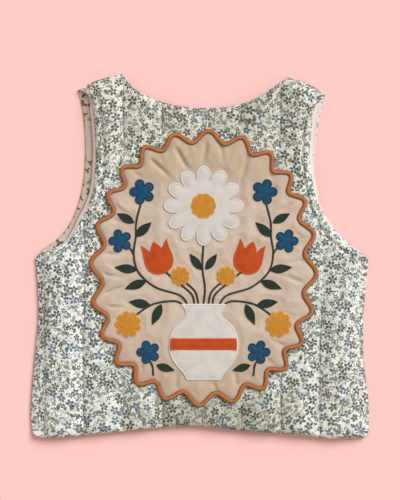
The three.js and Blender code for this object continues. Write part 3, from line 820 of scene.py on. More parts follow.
# What differs from one cloth or thread to the next of its kind
PLAIN_COTTONS = {
    # The plain rolled-out lining at the armholes is drawn lighter than the lining: painted light
    "lining_edge": {"name": "lining edge", "deep": paint(212, 198, 188)},
    "patch": {"name": "medallion cotton", "deep": paint(188, 162, 138), "ends": 0.55},
}
APPLIQUE_COTTONS = {
    "white": {"deep": paint(192, 184, 176), "edge": paint(226, 221, 215)},
    "orange": {"deep": paint(168, 56, 6), "edge": paint(208, 88, 32)},
    "blue": {"deep": paint(15, 60, 98), "edge": paint(12, 46, 80), "band": 1.2},
    "mustard": {"deep": paint(184, 116, 24), "edge": paint(226, 172, 78), "band": 1.1, "looped": True},
    "green": {"deep": paint(22, 32, 24), "edge": paint(31, 44, 33), "band": 1.3},
}
THREADS = {
    "thread": {"name": "quilting thread", "base": paint(226, 226, 214), "deep": paint(190, 190, 176)},
    "green_thread": {"name": "stem thread", "base": paint(46, 46, 34), "deep": paint(24, 25, 18)},
}
MATERIALS = {}


def made_material(name):
    """Makes the cloth or thread of this name."""
    if name in PLAIN_COTTONS:
        return plain_cotton(base=tint(name), **PLAIN_COTTONS[name])
    if name in APPLIQUE_COTTONS:
        return applique_cotton(f"{name} applique", tint(name), **APPLIQUE_COTTONS[name])
    if name in THREADS:
        return satin_thread(**THREADS[name])
    if name == "cord":
        return satin_thread("cord thread", tint("cord"), paint(124, 58, 16), 0.7, 0.5, 0.4, CORD_GIRTH)
    return {"print": flowered_cotton, "lining": sprigged_lining}[name]()


def material(name):
    """Each material is made once."""
    if name not in MATERIALS:
        MATERIALS[name] = made_material(name)
    return MATERIALS[name]


# The garment's form

EDGES = {
    "left": joined(LEFT_SIDE, BACK_LEFT_ARMHOLE),
    "right": joined(RIGHT_SIDE, BACK_RIGHT_ARMHOLE),
    "front_left": joined(LEFT_SIDE, FRONT_LEFT_ARMHOLE),
    "front_right": joined(RIGHT_SIDE, FRONT_RIGHT_ARMHOLE),
    "hem": curve(HEM),
    "front_hem": curve(HEM) + np.array([0, FRONT_HEM_RISE]),
    "top": joined(LEFT_SHOULDER, BACK_NECK, RIGHT_SHOULDER),
    "front_left_top": joined(LEFT_SHOULDER, FRONT_LEFT_NECK),
    "front_right_top": joined(FRONT_RIGHT_NECK, RIGHT_SHOULDER),
}
BACK_OUTLINE = np.concatenate([EDGES["hem"], EDGES["right"], EDGES["top"][::-1], EDGES["left"][::-1]])
SEAMS = [curve(table, 4) for table in (LEFT_SIDE, RIGHT_SIDE, LEFT_SHOULDER, RIGHT_SHOULDER)]
ARMHOLES = [curve(table, 3) for table in (BACK_LEFT_ARMHOLE, BACK_RIGHT_ARMHOLE)]
BACK_FREE = [curve(HEM, 4), *ARMHOLES, curve(BACK_NECK, 4)]
FRONT_FREE = [
    curve(HEM, 4) + np.array([0, FRONT_HEM_RISE]),
    *(curve(t, 4) for t in (FRONT_LEFT_ARMHOLE, FRONT_RIGHT_ARMHOLE, FRONT_LEFT_NECK, FRONT_RIGHT_NECK)),
    *(np.array([[x, 88.0], [x, -168.0]]) for x in (-CENTRE_FRONT, CENTRE_FRONT)),
]


def fullness(turn):
    """How far the medallion lies outside a true oval: most on its diagonals, as sin² of twice the turn,
    and drawn in at the upper left."""
    drawn_in = bell(turn % (2 * np.pi) - DRAWN_IN["turn"], DRAWN_IN["half_width"])
    return OVAL["fuller"] + OVAL["squarer"] * np.sin(2 * turn) ** 2 - DRAWN_IN["depth"] * drawn_in


def waved_oval(offset, steps_per_wave=20):
    """The medallion's edge: an oval with waves, cos across its run, that come a little sooner or later
    round it, by the sines of two and four times the turn. It is offset outwards and closed."""
    turn = np.linspace(0, 2 * np.pi, 2001)
    full = fullness(turn)
    oval = np.stack(
        [(OVAL["half_width"] + full) * np.cos(turn), (OVAL["half_height"] + full) * np.sin(turn)], axis=1
    )
    line = evenly(oval, OVAL["waves"] * steps_per_wave)
    turn = np.linspace(0, 2 * np.pi, len(line))
    drift = WAVE_SHIFT - WAVE_SWING * (np.sin(2 * turn) + np.sin(4 * turn))
    wave = OVAL["depth"] * np.cos(OVAL["waves"] * turn + 2 * np.pi * drift)
    line = line + normals_of(line, closed=True) * wave[:, None]
    line = line + normals_of(line, closed=True) * offset
    line[-1] = line[0]
    return line + CENTRE


CORD_LINE = waved_oval(0, 10)


def wander(x, y):
    """How far the lines of quilting stray sideways: two slow sines down each line, straight between lines."""
    strays = []
    for k in range(STITCH_LINES):
        stray = 0.8 * np.sin(y / 29 + 2.3 * k) + 0.35 * np.sin(y / 10.5 + 1.1 * k)
        strays.append(stray * smooth((160 - y) / 30) * smooth((y - STITCH_START) / 20))
    place = np.clip((x - FIRST_STITCH_X) / STITCH_PITCH, 0, STITCH_LINES - 1.001)
    left = place.astype(int)
    strays = np.stack(np.broadcast_arrays(*strays))
    picked = [np.take_along_axis(strays, (left + k)[None], axis=0)[0] for k in (0, 1)]
    return picked[0] + (picked[1] - picked[0]) * (place - left)


def medallion_reach(x, y):
    """How far out from the medallion's middle a place lies: 1 on the oval round its waves."""
    across, up = x - CENTRE[0], y - CENTRE[1]
    turn = np.arctan2(up / OVAL["half_height"], across / OVAL["half_width"])
    outer = OVAL["depth"] + CORD_HALF_WIDTH + fullness(turn)
    return np.hypot(across / (OVAL["half_width"] + outer), up / (OVAL["half_height"] + outer))


def seam_curl(seams):
    """How far a panel turns down near a side or shoulder seam: (1 - d / reach) to a power, 1 on the seam."""
    return np.clip(1 - seams / SEAM_CURL_REACH, 0, 1) ** 1.4


def back_under(x, y):
    """The plain inside of the back: level, sunk in the neck, and curled down to the seams."""
    across = 1 - np.abs(x - NECK_SAG["x"]) / NECK_SAG["half_width"]
    sag = NECK_SAG["depth"] * smooth(across) * smooth((y - NECK_SAG["y"]) / NECK_SAG["length"])
    return BACK_Z - sag - SEAM_CURL * seam_curl(distance_to_any(x, y, SEAMS))


# Creases of the back: x, y, length, turn in degrees, half width, rise
BACK_CREASES = [
    (-165, -120, 22, -4, 2.2, -1.3),
    (-163, -112, 18, 6, 3.0, 0.6),
    (-166, -64, 16, 8, 2.4, -0.6),
    (-158, -18, 42, -52, 4.5, -0.7),
    (-150, -2, 34, -66, 4.0, 0.5),
    (-128, 12, 30, -62, 3.4, -0.5),
    (160, -22, 36, 232, 4.5, -0.7),
    (146, -4, 30, 246, 4.0, 0.5),
    (164, -96, 20, 176, 2.6, -0.8),
    (164, -138, 18, 186, 3.0, -0.6),
    (-96, 150, 26, -70, 3.4, -0.5),
    (102, 140, 30, -96, 3.6, -0.6),
    (-60, 152, 18, -84, 3.2, -0.4),
    (60, 150, 20, -100, 3.2, -0.4),
    (-132, -168, 24, 84, 3.0, -0.5),
    (-104, -166, 20, 96, 3.4, -0.5),
    (-22, -162, 14, 88, 3.0, -0.5),
    (30, -164, 16, 96, 3.4, -0.5),
    (88, -168, 20, 86, 3.2, -0.5),
    (140, -170, 24, 94, 3.0, -0.5),
]


def back_top(x, y):
    """The quilted outside of the back.

    Between two lines of stitching it rises as a sine raised to a power, with puckers and a narrow
    groove beside the stitches. It lies lower and level under the medallion, and rolls over at edges.
    """
    channel = (x - wander(x, y) - FIRST_STITCH_X) / STITCH_PITCH
    phase = channel - np.floor(channel)
    beside = STITCH_PITCH * np.minimum(phase, 1 - phase)
    outer = (channel < 0) | (channel > STITCH_LINES - 1)
    puff = millimetres("puff") * np.where(outer, OUTER_PUFF, 1)
    quilted = STITCHED_CLOTH + puff * np.sin(np.pi * phase) ** PUFF_FULLNESS
    quilted -= millimetres("groove") * bell(beside, GROOVE_HALF_WIDTH)
    beyond = np.maximum(-channel, channel - (STITCH_LINES - 1)) * STITCH_PITCH
    quilted -= OUTER_STEP * smooth(beyond / 2.5)
    tugged = bell(beside - PUCKER["beside"], PUCKER["half_width"])
    quilted += millimetres("pucker") * tugged * ripples(x * 0.3, y, PUCKER["pitch"], 11)
    uneven = ripples(x, y * 0.6, BROAD_RIPPLE, 5) + 0.45 * ripples(x, y, SMALL_RIPPLE, 6)
    quilted += millimetres("ripple") * uneven * smooth(beside / 8) + creases(x, y, BACK_CREASES)
    outside = smooth((medallion_reach(x, y) - 1) / BED_BLEND)
    to_cord = distance(x, y, CORD_LINE)
    under_patch = inside(x, y, CORD_LINE) & (to_cord > 0.5)
    bed = np.where(under_patch, BED_UNDER_PATCH, PATCH_BED - 0.5 * bell(to_cord, 2.2))
    full = bed + (quilted - bed) * outside
    armhole = distance_to_any(x, y, ARMHOLES)
    full = full - ARMHOLE_GROOVE["depth"] * bell(armhole - ARMHOLE_STITCH_IN, ARMHOLE_GROOVE["half_width"])
    full += ARMHOLE_PUCKER["height"] * ripples(x, y, ARMHOLE_PUCKER["pitch"], 15) * bell(armhole - 6, 4)
    free = round_over(distance_to_any(x, y, BACK_FREE) / FREE_ROLL)
    seams = distance_to_any(x, y, SEAMS)
    seamed = 0.45 * round_over(seams / SEAM_ROLL) + 0.55 * smooth(0.12 + 0.88 * seams / (SEAM_ROLL + 3))
    return back_under(x, y) + EDGE_CLOTH + (full - EDGE_CLOTH) * free * seamed


def between(values, knots, targets):
    """Straight from each knot's target to the next one's; the targets may differ from place to place."""
    result = np.broadcast_to(targets[0], values.shape).copy()
    for (k0, k1), (t0, t1) in zip(zip(knots[:-1], knots[1:]), zip(targets[:-1], targets[1:])):
        share = np.clip((values - k0) / (k1 - k0), 0, 1)
        result = np.where(values >= k0, t0 + (t1 - t0) * share, result)
    return result


ROW_KNOTS = [-182, -160, 60, 100, 140, 165, 185]
ROW_MARGINS = [24, 16, 10, 5, 0]
COLUMN_MARGIN = 2.2
SETTLING_STEPS = 14


def panel_places(left, right, hem, top, knots, columns, rows):
    """Places of a grid that fills the outline between two sides, a hem and a top.

    Rows and columns keep their height and x, and are pressed together, in order, where the outline
    cuts in. Each depends on the other, so they are worked out in turn until they settle.
    """
    column, row = np.meshgrid(columns, rows)
    x, y = column.copy(), row.copy()
    for _ in range(SETTLING_STEPS):
        low = np.interp(x, hem[:, 0], hem[:, 1])
        high = np.interp(x, top[:, 0], top[:, 1])
        targets = [low, np.maximum(ROW_KNOTS[1], low + 8)]
        targets += [np.minimum(knot, high - m) for knot, m in zip(ROW_KNOTS[2:], ROW_MARGINS)]
        targets[-1] = high
        y = between(row, ROW_KNOTS, targets)
        west = np.interp(y, left[:, 1], left[:, 0])
        east = np.interp(y, right[:, 1], right[:, 0])
        middle = [
            np.clip(knot + wander(np.full(y.shape, float(knot)), y),
                    west + COLUMN_MARGIN * (i + 1), east - COLUMN_MARGIN * (len(knots) - 2 - i))
            for i, knot in enumerate(knots[1:-1])
        ]
        x = between(column, knots, [west, *middle, east])
    return x, y


def rows_for(left, right, pitch):
    """Heights of a panel's rows: closer where a side runs level, at both pits and along hem and neck."""
    fine = np.linspace(ROW_KNOTS[0], ROW_KNOTS[-1], 3000)
    slopes = [np.gradient(np.interp(fine, side[:, 1], side[:, 0]), fine) for side in (left, right)]
    weight = np.sqrt(1 + np.maximum(np.abs(slopes[0]), np.abs(slopes[1])) ** 2)
    run = np.concatenate([[0], np.cumsum((weight[1:] + weight[:-1]) / 2 * np.diff(fine))])
    rows = np.interp(np.linspace(0, run[-1], int(run[-1] / pitch)), run, fine)
    rim = np.array([0, 0.5, 1.2, 2.2, 3.6, 5.4])
    extra = [LEFT_PIT[1], RIGHT_PIT[1], *(ROW_KNOTS[0] + rim), *(ROW_KNOTS[-1] - rim)]
    return thinned(np.sort(np.concatenate([rows, extra])), extra, 0.35)


def thinned(values, kept, gap):
    """Sorted values without those nearer than a gap to the one before, except the kept ones."""
    kept = {round(float(value), 6) for value in kept}
    result = [values[0]]
    for value in values[1:]:
        if value - result[-1] >= gap:
            result.append(value)
        elif round(float(value), 6) in kept:
            result[-1] = value if round(float(result[-1]), 6) not in kept else result[-1]
    return np.array(result)


def columns_for(knots, steps, extra=()):
    """Columns at the given shares of the way from each knot to the next."""
    columns = [k0 + (k1 - k0) * share for k0, k1 in zip(knots[:-1], knots[1:]) for share in steps]
    columns = np.sort(np.concatenate([columns, [knots[-1]], extra]))
    return thinned(columns, [*knots, *extra], 0.3)


CHANNEL_STEPS = [0, 0.014, 0.03, 0.052, 0.08, 0.115, 0.155, 0.2, 0.25, 0.31, 0.375, 0.44]
CHANNEL_STEPS = CHANNEL_STEPS + [0.5] + [1 - s for s in CHANNEL_STEPS[:0:-1]]
BACK_KNOTS = [-169, *STITCH_XS, 169]


def cloth_map(x, y, z):
    """Where each point of a grid lay on the flat cloth: its run along its row and along its column."""
    run = np.sqrt(np.diff(x, axis=1) ** 2 + np.diff(z, axis=1) ** 2)
    rise = np.sqrt(np.diff(y, axis=0) ** 2 + np.diff(z, axis=0) ** 2)
    u = np.concatenate([np.zeros((len(x), 1)), np.cumsum(run, axis=1)], axis=1)
    v = np.concatenate([np.zeros((1, x.shape[1])), np.cumsum(rise, axis=0)], axis=0)
    middle_column = np.argmin(np.abs(x[len(x) // 2]))
    middle_row = len(y) // 2
    u += (x - u)[:, middle_column][:, None]
    v += (y - v)[middle_row][None]
    return np.stack([u, v], axis=-1)


def stacked(x, y, z):
    return np.stack([x, y, np.broadcast_to(z, x.shape)], axis=-1)


LINING_ROLL = 3.2  # how far the back's lining rolls out past the outside at the armholes


def quilted_back():
    """The back: a quilted outside over a plain inside, with its lining rolled out at one armhole."""
    x, y = panel_places(
        EDGES["left"], EDGES["right"], EDGES["hem"], EDGES["top"], BACK_KNOTS,
        columns_for(BACK_KNOTS, CHANNEL_STEPS, [LEFT_NECK_POINT[0], RIGHT_NECK_POINT[0]]),
        rows_for(EDGES["left"], EDGES["right"], SPACING),
    )
    z = back_top(x, y)
    top = stacked(x, y, z)
    under = stacked(x, y, back_under(x, y))
    for armhole, side, low in zip(ARMHOLES, (1, -1), (4, 46)):
        near = 1 - smooth(distance(x, y, armhole) / 6)
        near *= smooth((y - low) / 18) * smooth((160 - y) / 14) * (x * side < 0)
        under[..., :2] += outwards_from(armhole, x, y) * (side * near * LINING_ROLL)[..., None]

    def wall_finish(wall_x, wall_y):
        at_armhole = (np.abs(wall_x) > 100) & (wall_y > np.where(wall_x < 0, 6, 52)) & (wall_y < 157)
        return np.where(at_armhole, 2, 0)

    made = shell(top, under, cloth_map(x, y, z), bow=0.4, under_finish=1, wall_finish=wall_finish)
    # The wall's bands at the armholes take the lighter lit lining: painted light
    finishes = [material(name) for name in ("print", "lining", "lining_edge")]
    return made.piece("back_quilted", "print_cotton", finishes)


def outwards_from(line, x, y):
    """The direction to the left of the nearest piece of a line, at each place."""
    nearest = np.full(x.shape, np.inf)
    way = np.zeros((*x.shape, 2))
    for a, b in zip(line[:-1], line[1:]):
        run = b - a
        t = np.clip(((x - a[0]) * run[0] + (y - a[1]) * run[1]) / (run @ run), 0, 1)
        gap = np.hypot(x - a[0] - t * run[0], y - a[1] - t * run[1])
        closer = gap < nearest
        nearest = np.where(closer, gap, nearest)
        way[closer] = np.array([-run[1], run[0]]) / np.hypot(*run)
    return way


FRONT_STEPS = [0, 0.02, 0.05, 0.1, 0.18, 0.28, 0.39, 0.5, 0.61, 0.72, 0.82, 0.9, 0.95, 0.98]


def front_piece(word, side):
    """A front and its lining. It is flat where it rests, grooved below along its quilting, and its
    edges curl."""
    outer_edge, top_edge = EDGES[f"front_{word}"], EDGES[f"front_{word}_top"]
    centre_x = side * CENTRE_FRONT
    centre_edge = np.array([[centre_x, -200.0], [centre_x, 200.0]])
    if side < 0:
        knots = [-169, *STITCH_XS[:4], centre_x]
        sides = outer_edge, centre_edge
        neck, armhole_line = LEFT_NECK_POINT[0], curve(FRONT_LEFT_ARMHOLE, 3)
    else:
        knots = [centre_x, *STITCH_XS[5:], 169]
        sides = centre_edge, outer_edge
        neck, armhole_line = RIGHT_NECK_POINT[0], curve(FRONT_RIGHT_ARMHOLE, 3)
    columns = columns_for(knots, FRONT_STEPS, [neck])
    rows = rows_for(outer_edge, outer_edge, FRONT_SPACING)
    x, y = panel_places(*sides, EDGES["front_hem"], top_edge, knots, columns, rows)
    seams = distance_to_any(x, y, SEAMS)
    free = distance_to_any(x, y, FRONT_FREE)
    drop = LINING_DROP * (1 - round_over(free / FREE_ROLL))
    armhole = distance(x, y, armhole_line)
    turned_down = np.clip(1 - armhole / ARMHOLE_DROP_REACH[word], 0, 1) ** 1.4
    drop += ARMHOLE_DROP[word] * turned_down * smooth(seams / 9)
    sunk = FRONT_SEAM_CURL * seam_curl(seams)
    curl = np.maximum(1 - round_over(seams / SEAM_ROLL), (1 - round_over(free / FREE_ROLL)) / 2)
    curl *= FRONT_CLOTH - EDGE_CLOTH
    beside = np.min(np.abs((x - wander(x, y))[..., None] - np.array(STITCH_XS)), axis=-1)
    groove = FRONT_GROOVE["depth"] * bell(beside, FRONT_GROOVE["half_width"])
    groove *= smooth(np.minimum(seams, free) / 6)
    cloth_z = np.maximum(FRONT_CLOTH - drop - sunk, 0.5)
    cloth_under = np.clip(np.minimum(curl * 0.55 + groove, cloth_z - 0.3), 0, None)
    flat = np.stack([x, y], axis=-1)
    outside = shell(stacked(x, y, cloth_z), stacked(x, y, cloth_under), flat, bow=0.35)
    cloth = outside.piece(f"front_{word}_quilted", "print_cotton", [material("print")])
    inset = smooth(1 - free / 4) * (0.8 - 1.7 * smooth(1 - armhole / 5))
    inner_x = x - np.sign(x - np.mean(x)) * inset * 0.6
    inner_y = y - np.sign(y - np.mean(y)) * inset * 0.4
    inner_x = inner_x - np.sign(x) * 3 * smooth(1 - distance_to_any(x, y, SEAMS[:2]) / 12)
    uneven = 0.12 * ripples(x, y, 14, 21)
    low = np.maximum(LINING_Z - drop - LINING_SEAM_CURL * seam_curl(seams), cloth_z + 0.05)
    high = np.minimum(low + LINING_CLOTH - 0.15 + uneven, back_under(x, y) - 0.05)
    high = np.maximum(high, low + 0.15)
    lining = shell(stacked(inner_x, inner_y, high), stacked(inner_x, inner_y, low), flat, bow=0.2)
    inner = lining.piece(f"front_{word}_inner", "lining_cotton", [material("lining")])
    area = area_of(rim_of(flat, False)) * MM**2
    for made, replaced, below in ((cloth, "panel", "floor"), (inner, "lining", cloth.name)):
        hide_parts(f"front_{word}_{replaced}")


# The bouquet on the medallion, the same on both sides of its middle. Places are from its centre.
VASE_SIDE = [(17, -112), (20, -106), (31, -92), (35, -76), (30, -60), (19, -49), (18, -43), (23, -36)]
VASE_ACROSS = 60  # the width for which the columns' spacing is set
VASE_BAND = {"bottom": -82, "top": -70, "inset": 1.5}
DAISY = {"x": 0, "y": 62, "radius": 40, "turn": -np.pi / 2, "petals": 12, "notch": 0.3}
DAISY_CENTRE = {"x": 0, "y": 62, "radius": 13, "turn": 0, "petals": 10, "notch": 0.1}
TULIP = {"x": 45, "y": 10, "width": 29, "height": 33, "lean": -0.28}
BLUE_FLOWERS = [
    {"x": 61, "y": 76, "radius": 13, "turn": 0, "petals": 5, "notch": 0.45},
    {"x": 83, "y": 27, "radius": 12, "turn": 0, "petals": 5, "notch": 0.45},
    {"x": 55, "y": -84, "radius": 12, "turn": 0, "petals": 5, "notch": 0.45},
]
MUSTARD_FLOWERS = [
    {"x": 23, "y": -8, "radius": 10, "turn": 0, "petals": 9, "notch": 0.22},
    {"x": 75, "y": -56, "radius": 13.5, "turn": 0, "petals": 9, "notch": 0.22},
]
PETAL_FULLNESS = 0.6
VEIN = {"depth": 0.35, "half_width": 0.5}
# x, y, length, width, turn in radians
LEAVES = [
    (2, -2, 20, 8, 0.95), (57, -13, 23, 9, -0.35), (66, -2, 23, 9, 0.12), (68, 31, 22, 9, 2.4),
    (69, 45, 20, 8.5, 0.5), (42, -36, 23, 9, -1.15), (53, -37, 22, 9, 0.15), (47, -97, 19, 8, -2.85),
]
# Points of each stem on the right side
STEMS = [
    [(0, -36), (1.5, -20), (-1, 0), (0, 24)],
    [(9, -36), (12, -26), (26, -14), (38, -4), (41, -5)],
    [(16, -36), (24, -27), (48, -19), (65, -4), (69.5, 14), (67.5, 31), (67, 46), (62, 66)],
    [(69, 12), (72, 18), (77, 23)],
    [(21, -36), (30, -33), (50, -36), (66, -46), (70, -51)],
    [(5, -36), (8, -24), (17, -15), (19, -13)],
    [(50, -108), (51, -98), (54, -92)],
]


def flower_outline(x, y, radius, turn, petals, notch, steps=26):
    """r = radius (1 - notch + notch |cos(petals a / 2)|^fullness), closed."""
    a = np.linspace(0, 2 * np.pi, petals * steps + 1)
    reach = radius * (1 - notch + notch * np.abs(np.cos(petals * a / 2)) ** PETAL_FULLNESS)
    return np.stack([x + reach * np.cos(a + turn), y + reach * np.sin(a + turn)], axis=1)


def bezier(points, count):
    """A Bezier curve through its first and last points, drawn towards those between, without its start."""
    t = np.linspace(0, 1, count + 1)[1:, None]
    points = np.asarray(points, float)
    while len(points) > 1:
        points = [a + (b - a) * t for a, b in zip(points[:-1], points[1:])]
    return points[0]


def tulip_outline(x, y, width, height, lean):
    """A cup of three pointed petals: half of it from Bezier curves, and its mirror image, closed."""
    half = np.concatenate([
        [(0, -0.5)],
        bezier([(0, -0.5), (0.3, -0.5), (0.5, -0.32), (0.5, -0.05)], 14),
        bezier([(0.5, -0.05), (0.5, 0.16), (0.44, 0.3), (0.47, 0.5)], 14),
        bezier([(0.47, 0.5), (0.3, 0.42), (0.23, 0.2)], 12),
        bezier([(0.23, 0.2), (0.14, 0.42), (0, 0.52)], 12),
    ])
    full = np.concatenate([half, half[-2::-1] * np.array([-1, 1])]) * np.array([width, height])
    c, s = np.cos(lean), np.sin(lean)
    return full @ np.array([[c, s], [-s, c]]) + np.array([x, y])


def leaf_grid(x, y, run, width, turn, across):
    """t runs along the leaf and s across it: half the width there is width sin(pi t^0.85) / 2."""
    t = (1 - np.cos(np.linspace(0, np.pi, 25))) / 2
    half = width * np.sin(np.pi * np.clip(t, 0, 1) ** 0.85) / 2
    half[[0, -1]] = 0
    ahead = np.repeat(run * t[:, None], len(across), axis=1)
    aside = half[:, None] * across[None]
    c, s = np.cos(turn), np.sin(turn)
    return x + ahead * c - aside * s, y + ahead * s + aside * c


def mirrored(points, side):
    """Places on the right, moved to the medallion, or their mirror image when side is -1."""
    return points * np.array([side, 1.0]) + CENTRE


def motif_outlines():
    """Every shape's closed outline where it lies on the garment, by name."""
    outlines = {"daisy": mirrored(flower_outline(**DAISY), 1)}
    half = curve(VASE_SIDE)
    outlines["vase"] = mirrored(np.concatenate([half, half[::-1] * np.array([-1, 1]), half[:1]]), 1)
    for word, side in SIDES:
        outlines[f"tulip_{word}"] = mirrored(tulip_outline(**TULIP), side)
        for i, flower in enumerate(BLUE_FLOWERS, 1):
            outlines[f"blue_flower_{i}_{word}"] = mirrored(flower_outline(**flower), side)
        for i, flower in enumerate(MUSTARD_FLOWERS, 1):
            outlines[f"mustard_flower_{i}_{word}"] = mirrored(flower_outline(**flower), side)
        for i, leaf in enumerate(LEAVES, 1):
            edges = [np.stack(leaf_grid(*leaf, np.array([s])), axis=-1)[:, 0] for s in (-1.0, 1.0)]
            outlines[f"leaf_{i}_{word}"] = mirrored(np.concatenate([edges[0], edges[1][::-1]]), side)
    return outlines


OUTLINES = motif_outlines()


def above_motifs(x, y):
    """Distance to the nearest sewn-on shape, 0 within it. Far from all it is capped."""
    reach = 12.0  # the cap, in millimetres
    nearest = np.full(x.shape, reach)
    for outline in OUTLINES.values():
        low, high = outline.min(0) - reach, outline.max(0) + reach
        close = (x > low[0]) & (x < high[0]) & (y > low[1]) & (y < high[1])
        if not close.any():
            continue
        px, py = x[close], y[close]
        coarse = outline[:: max(1, len(outline) // 90)]
        coarse = np.concatenate([coarse, outline[:1]])
        gap = np.where(inside(px, py, coarse), 0, distance(px, py, coarse))
        nearest[close] = np.minimum(nearest[close], gap)
    return nearest


# Creases that run in from the medallion's edge: angle round it in degrees, where each starts in
# millimetres in from the edge, length, turn from straight inwards in degrees, half width, rise
PATCH_CREASES = [
    (4, 1, 17, 12, 1.8, -0.7), (9, 3, 14, -6, 1.6, 0.5), (15, 2, 24, -8, 2.2, -0.9),
    (22, 0, 13, 20, 1.8, 0.5), (31, 1, 21, 6, 2.0, -0.8), (41, 2, 16, -16, 2.2, 0.6),
    (48, 1, 27, 4, 2.6, -1.0), (56, 3, 25, -12, 2.8, 0.7), (64, 1, 30, 10, 2.4, -1.0),
    (71, 2, 20, -4, 2.0, 0.6), (80, 1, 16, 14, 2.2, -0.7), (88, 0, 22, -10, 2.4, -0.8),
    (97, 2, 15, 8, 2.0, 0.5), (106, 1, 26, 12, 2.6, -1.0), (113, 3, 18, -6, 2.2, 0.6),
    (121, 1, 24, 16, 2.2, -0.9), (131, 1, 14, -14, 1.8, -0.6), (136, 3, 20, 4, 1.6, 0.6),
    (140, 2, 27, 8, 2.0, -1.0), (148, 0, 16, -10, 1.8, 0.6), (153, 2, 20, -22, 1.5, -0.7),
    (157, 1, 22, 14, 1.8, -0.9), (162, 3, 17, -14, 1.5, 0.7), (166, 2, 20, -8, 1.6, -0.8),
    (170, 1, 14, 22, 1.5, -0.6), (174, 1, 25, 18, 1.9, -0.9), (179, 3, 18, -18, 1.5, 0.6),
    (183, 2, 16, -12, 1.6, -0.7), (188, 1, 14, 16, 1.5, 0.5), (192, 1, 21, 10, 1.8, -0.8),
    (198, 2, 15, -20, 1.5, -0.6), (203, 0, 17, -16, 1.8, -0.6), (208, 3, 16, 10, 1.6, 0.5),
    (212, 2, 24, 8, 2.0, -0.9), (222, 1, 14, -10, 1.8, 0.5), (233, 1, 19, 14, 2.0, -0.7),
    (243, 2, 13, -8, 1.8, -0.5), (254, 1, 20, 10, 2.4, -0.7), (266, 2, 15, -12, 2.2, 0.5),
    (277, 1, 18, 6, 2.0, -0.6), (289, 2, 22, -14, 2.4, -0.7), (301, 1, 16, 10, 1.8, 0.5),
    (311, 1, 21, -6, 2.2, -0.8), (322, 2, 15, 14, 2.0, -0.6), (333, 1, 24, -10, 2.2, -0.9),
    (339, 2, 14, 12, 1.6, 0.5), (344, 0, 16, 8, 1.8, 0.6), (353, 1, 20, -14, 2.0, -0.8),
]


def patch_crease_table():
    """The medallion's creases as starts, turns and rises for creases()."""
    deepest = max(abs(row[-1]) for row in PATCH_CREASES)
    table = []
    for angle, start, run, turn, half_width, rise in PATCH_CREASES:
        a = np.radians(angle)
        out = np.array([np.cos(a), np.sin(a)])
        edge = CENTRE + out * (np.array([OVAL["half_width"], OVAL["half_height"]]) + fullness(a))
        place = edge - out * (start + OVAL["depth"])
        towards = np.degrees(np.arctan2(-out[1], -out[0])) + turn
        table.append((*place, run * 1.4, towards, half_width, rise / deepest * millimetres("crease")))
    return table


# Slack folds of the ground between the shapes
SLACK_FOLDS = [
    (-48, 96, 30, -72, 3.5, -0.5), (40, 92, 26, -104, 3.5, -0.5), (-66, -34, 30, 24, 3.4, -0.4),
    (60, 10, 22, 70, 3.2, 0.4), (-22, -24, 24, 70, 3.0, -0.4), (24, -30, 22, 112, 3.0, -0.4),
    (-72, -84, 28, 40, 3.6, -0.4), (82, -82, 26, 140, 3.6, -0.4), (-6, -134, 22, 82, 3.6, -0.4),
    (-40, -106, 24, 120, 3.2, -0.4), (44, -110, 24, 62, 3.2, -0.4), (0, 110, 22, -92, 3.4, -0.4),
]


def patch_top(x, y):
    """The medallion's ground: level, drawn down at the cord and round the shapes, pillowed between
    them, and creased in from the cord."""
    to_cord = distance(x, y, CORD_LINE)
    to_shape = above_motifs(x, y)
    raised = millimetres("pillow") * smooth(to_shape / 9) * smooth((to_cord - 1) / 12)
    folds = creases(x, y, patch_crease_table()) + creases(x, y, SLACK_FOLDS)
    folds += 0.22 * ripples(x, y, 17, 31) + 0.07 * ripples(x, y, 6, 32)
    free = smooth((to_shape - 0.6) / 5)
    low = (PATCH_TOP - 0.7) + 0.7 * smooth((to_cord - 1.5) / 3)
    high = MOTIF_BED * (1 - smooth(to_shape / 3)) + low * smooth(to_shape / 3)
    top = np.maximum(high + raised + folds * free * smooth((to_cord - 1.2) / 3), PATCH_LOWEST)
    return np.minimum(top, RIDGE_LEVEL + (top - RIDGE_LEVEL) * RIDGE_SHARE)


def polar_grid(centre, outline, inwards):
    """Rings inside a closed outline, at the given distances in from it for a shape of mean reach."""
    mean = np.mean(np.hypot(*(outline - centre).T))
    shares = np.clip(1 - np.array(inwards) / mean, 0, 1)
    shares = np.concatenate([[0], np.sort(shares[shares > 0.02])])
    return centre + (outline - centre)[None] * shares[:, None, None]


def medallion_ground():
    """The oval patch: rings of its waved outline, drawn in towards its middle."""
    outline = waved_oval(PATCH_INSET)
    inwards = np.concatenate([[0, 0.7, 1.5, 2.4], np.arange(3.6, 112, 1.3)])
    places = polar_grid(CENTRE, outline, inwards)
    x, y = places[..., 0], places[..., 1]
    z = patch_top(x, y)
    under = np.maximum(z - PATCH_CLOTH, CORD_LOW)
    made = shell(stacked(x, y, z), stacked(x, y, under), places, polar=True, bow=0.1)
    return made.piece("medallion_ground", "patch_cotton", [material("patch")])


# Soft folds of the vase, as for creases()
VASE_FOLDS = [
    (-5, -52, 34, -112, 2.2, -0.3), (1, -50, 30, -96, 2.4, 0.3), (11, -52, 36, -70, 2.4, -0.3),
    (16, -56, 28, -58, 2.0, 0.25), (-14, -118, 22, 100, 2.4, -0.2), (20, -116, 24, 82, 2.4, -0.2),
]

# Height of a sewn-on shape by the distance in from its edge, as shares of its full rise
APPLIQUE_PROFILE = [
    (0, 0.0), (0.25, 0.52), (0.6, 0.72), (1.0, 0.76), (1.5, 0.6), (1.9, 0.5), (3, 0.74), (6, 0.92), (11, 1.0),
]
APPLIQUE_RINGS = [0, 0.1, 0.25, 0.45, 0.7, 1.0, 1.3, 1.6, 1.9, 2.4, 3.1, 4, 5.2, 6.8, 9, 12, 16, 21, 27, 34]


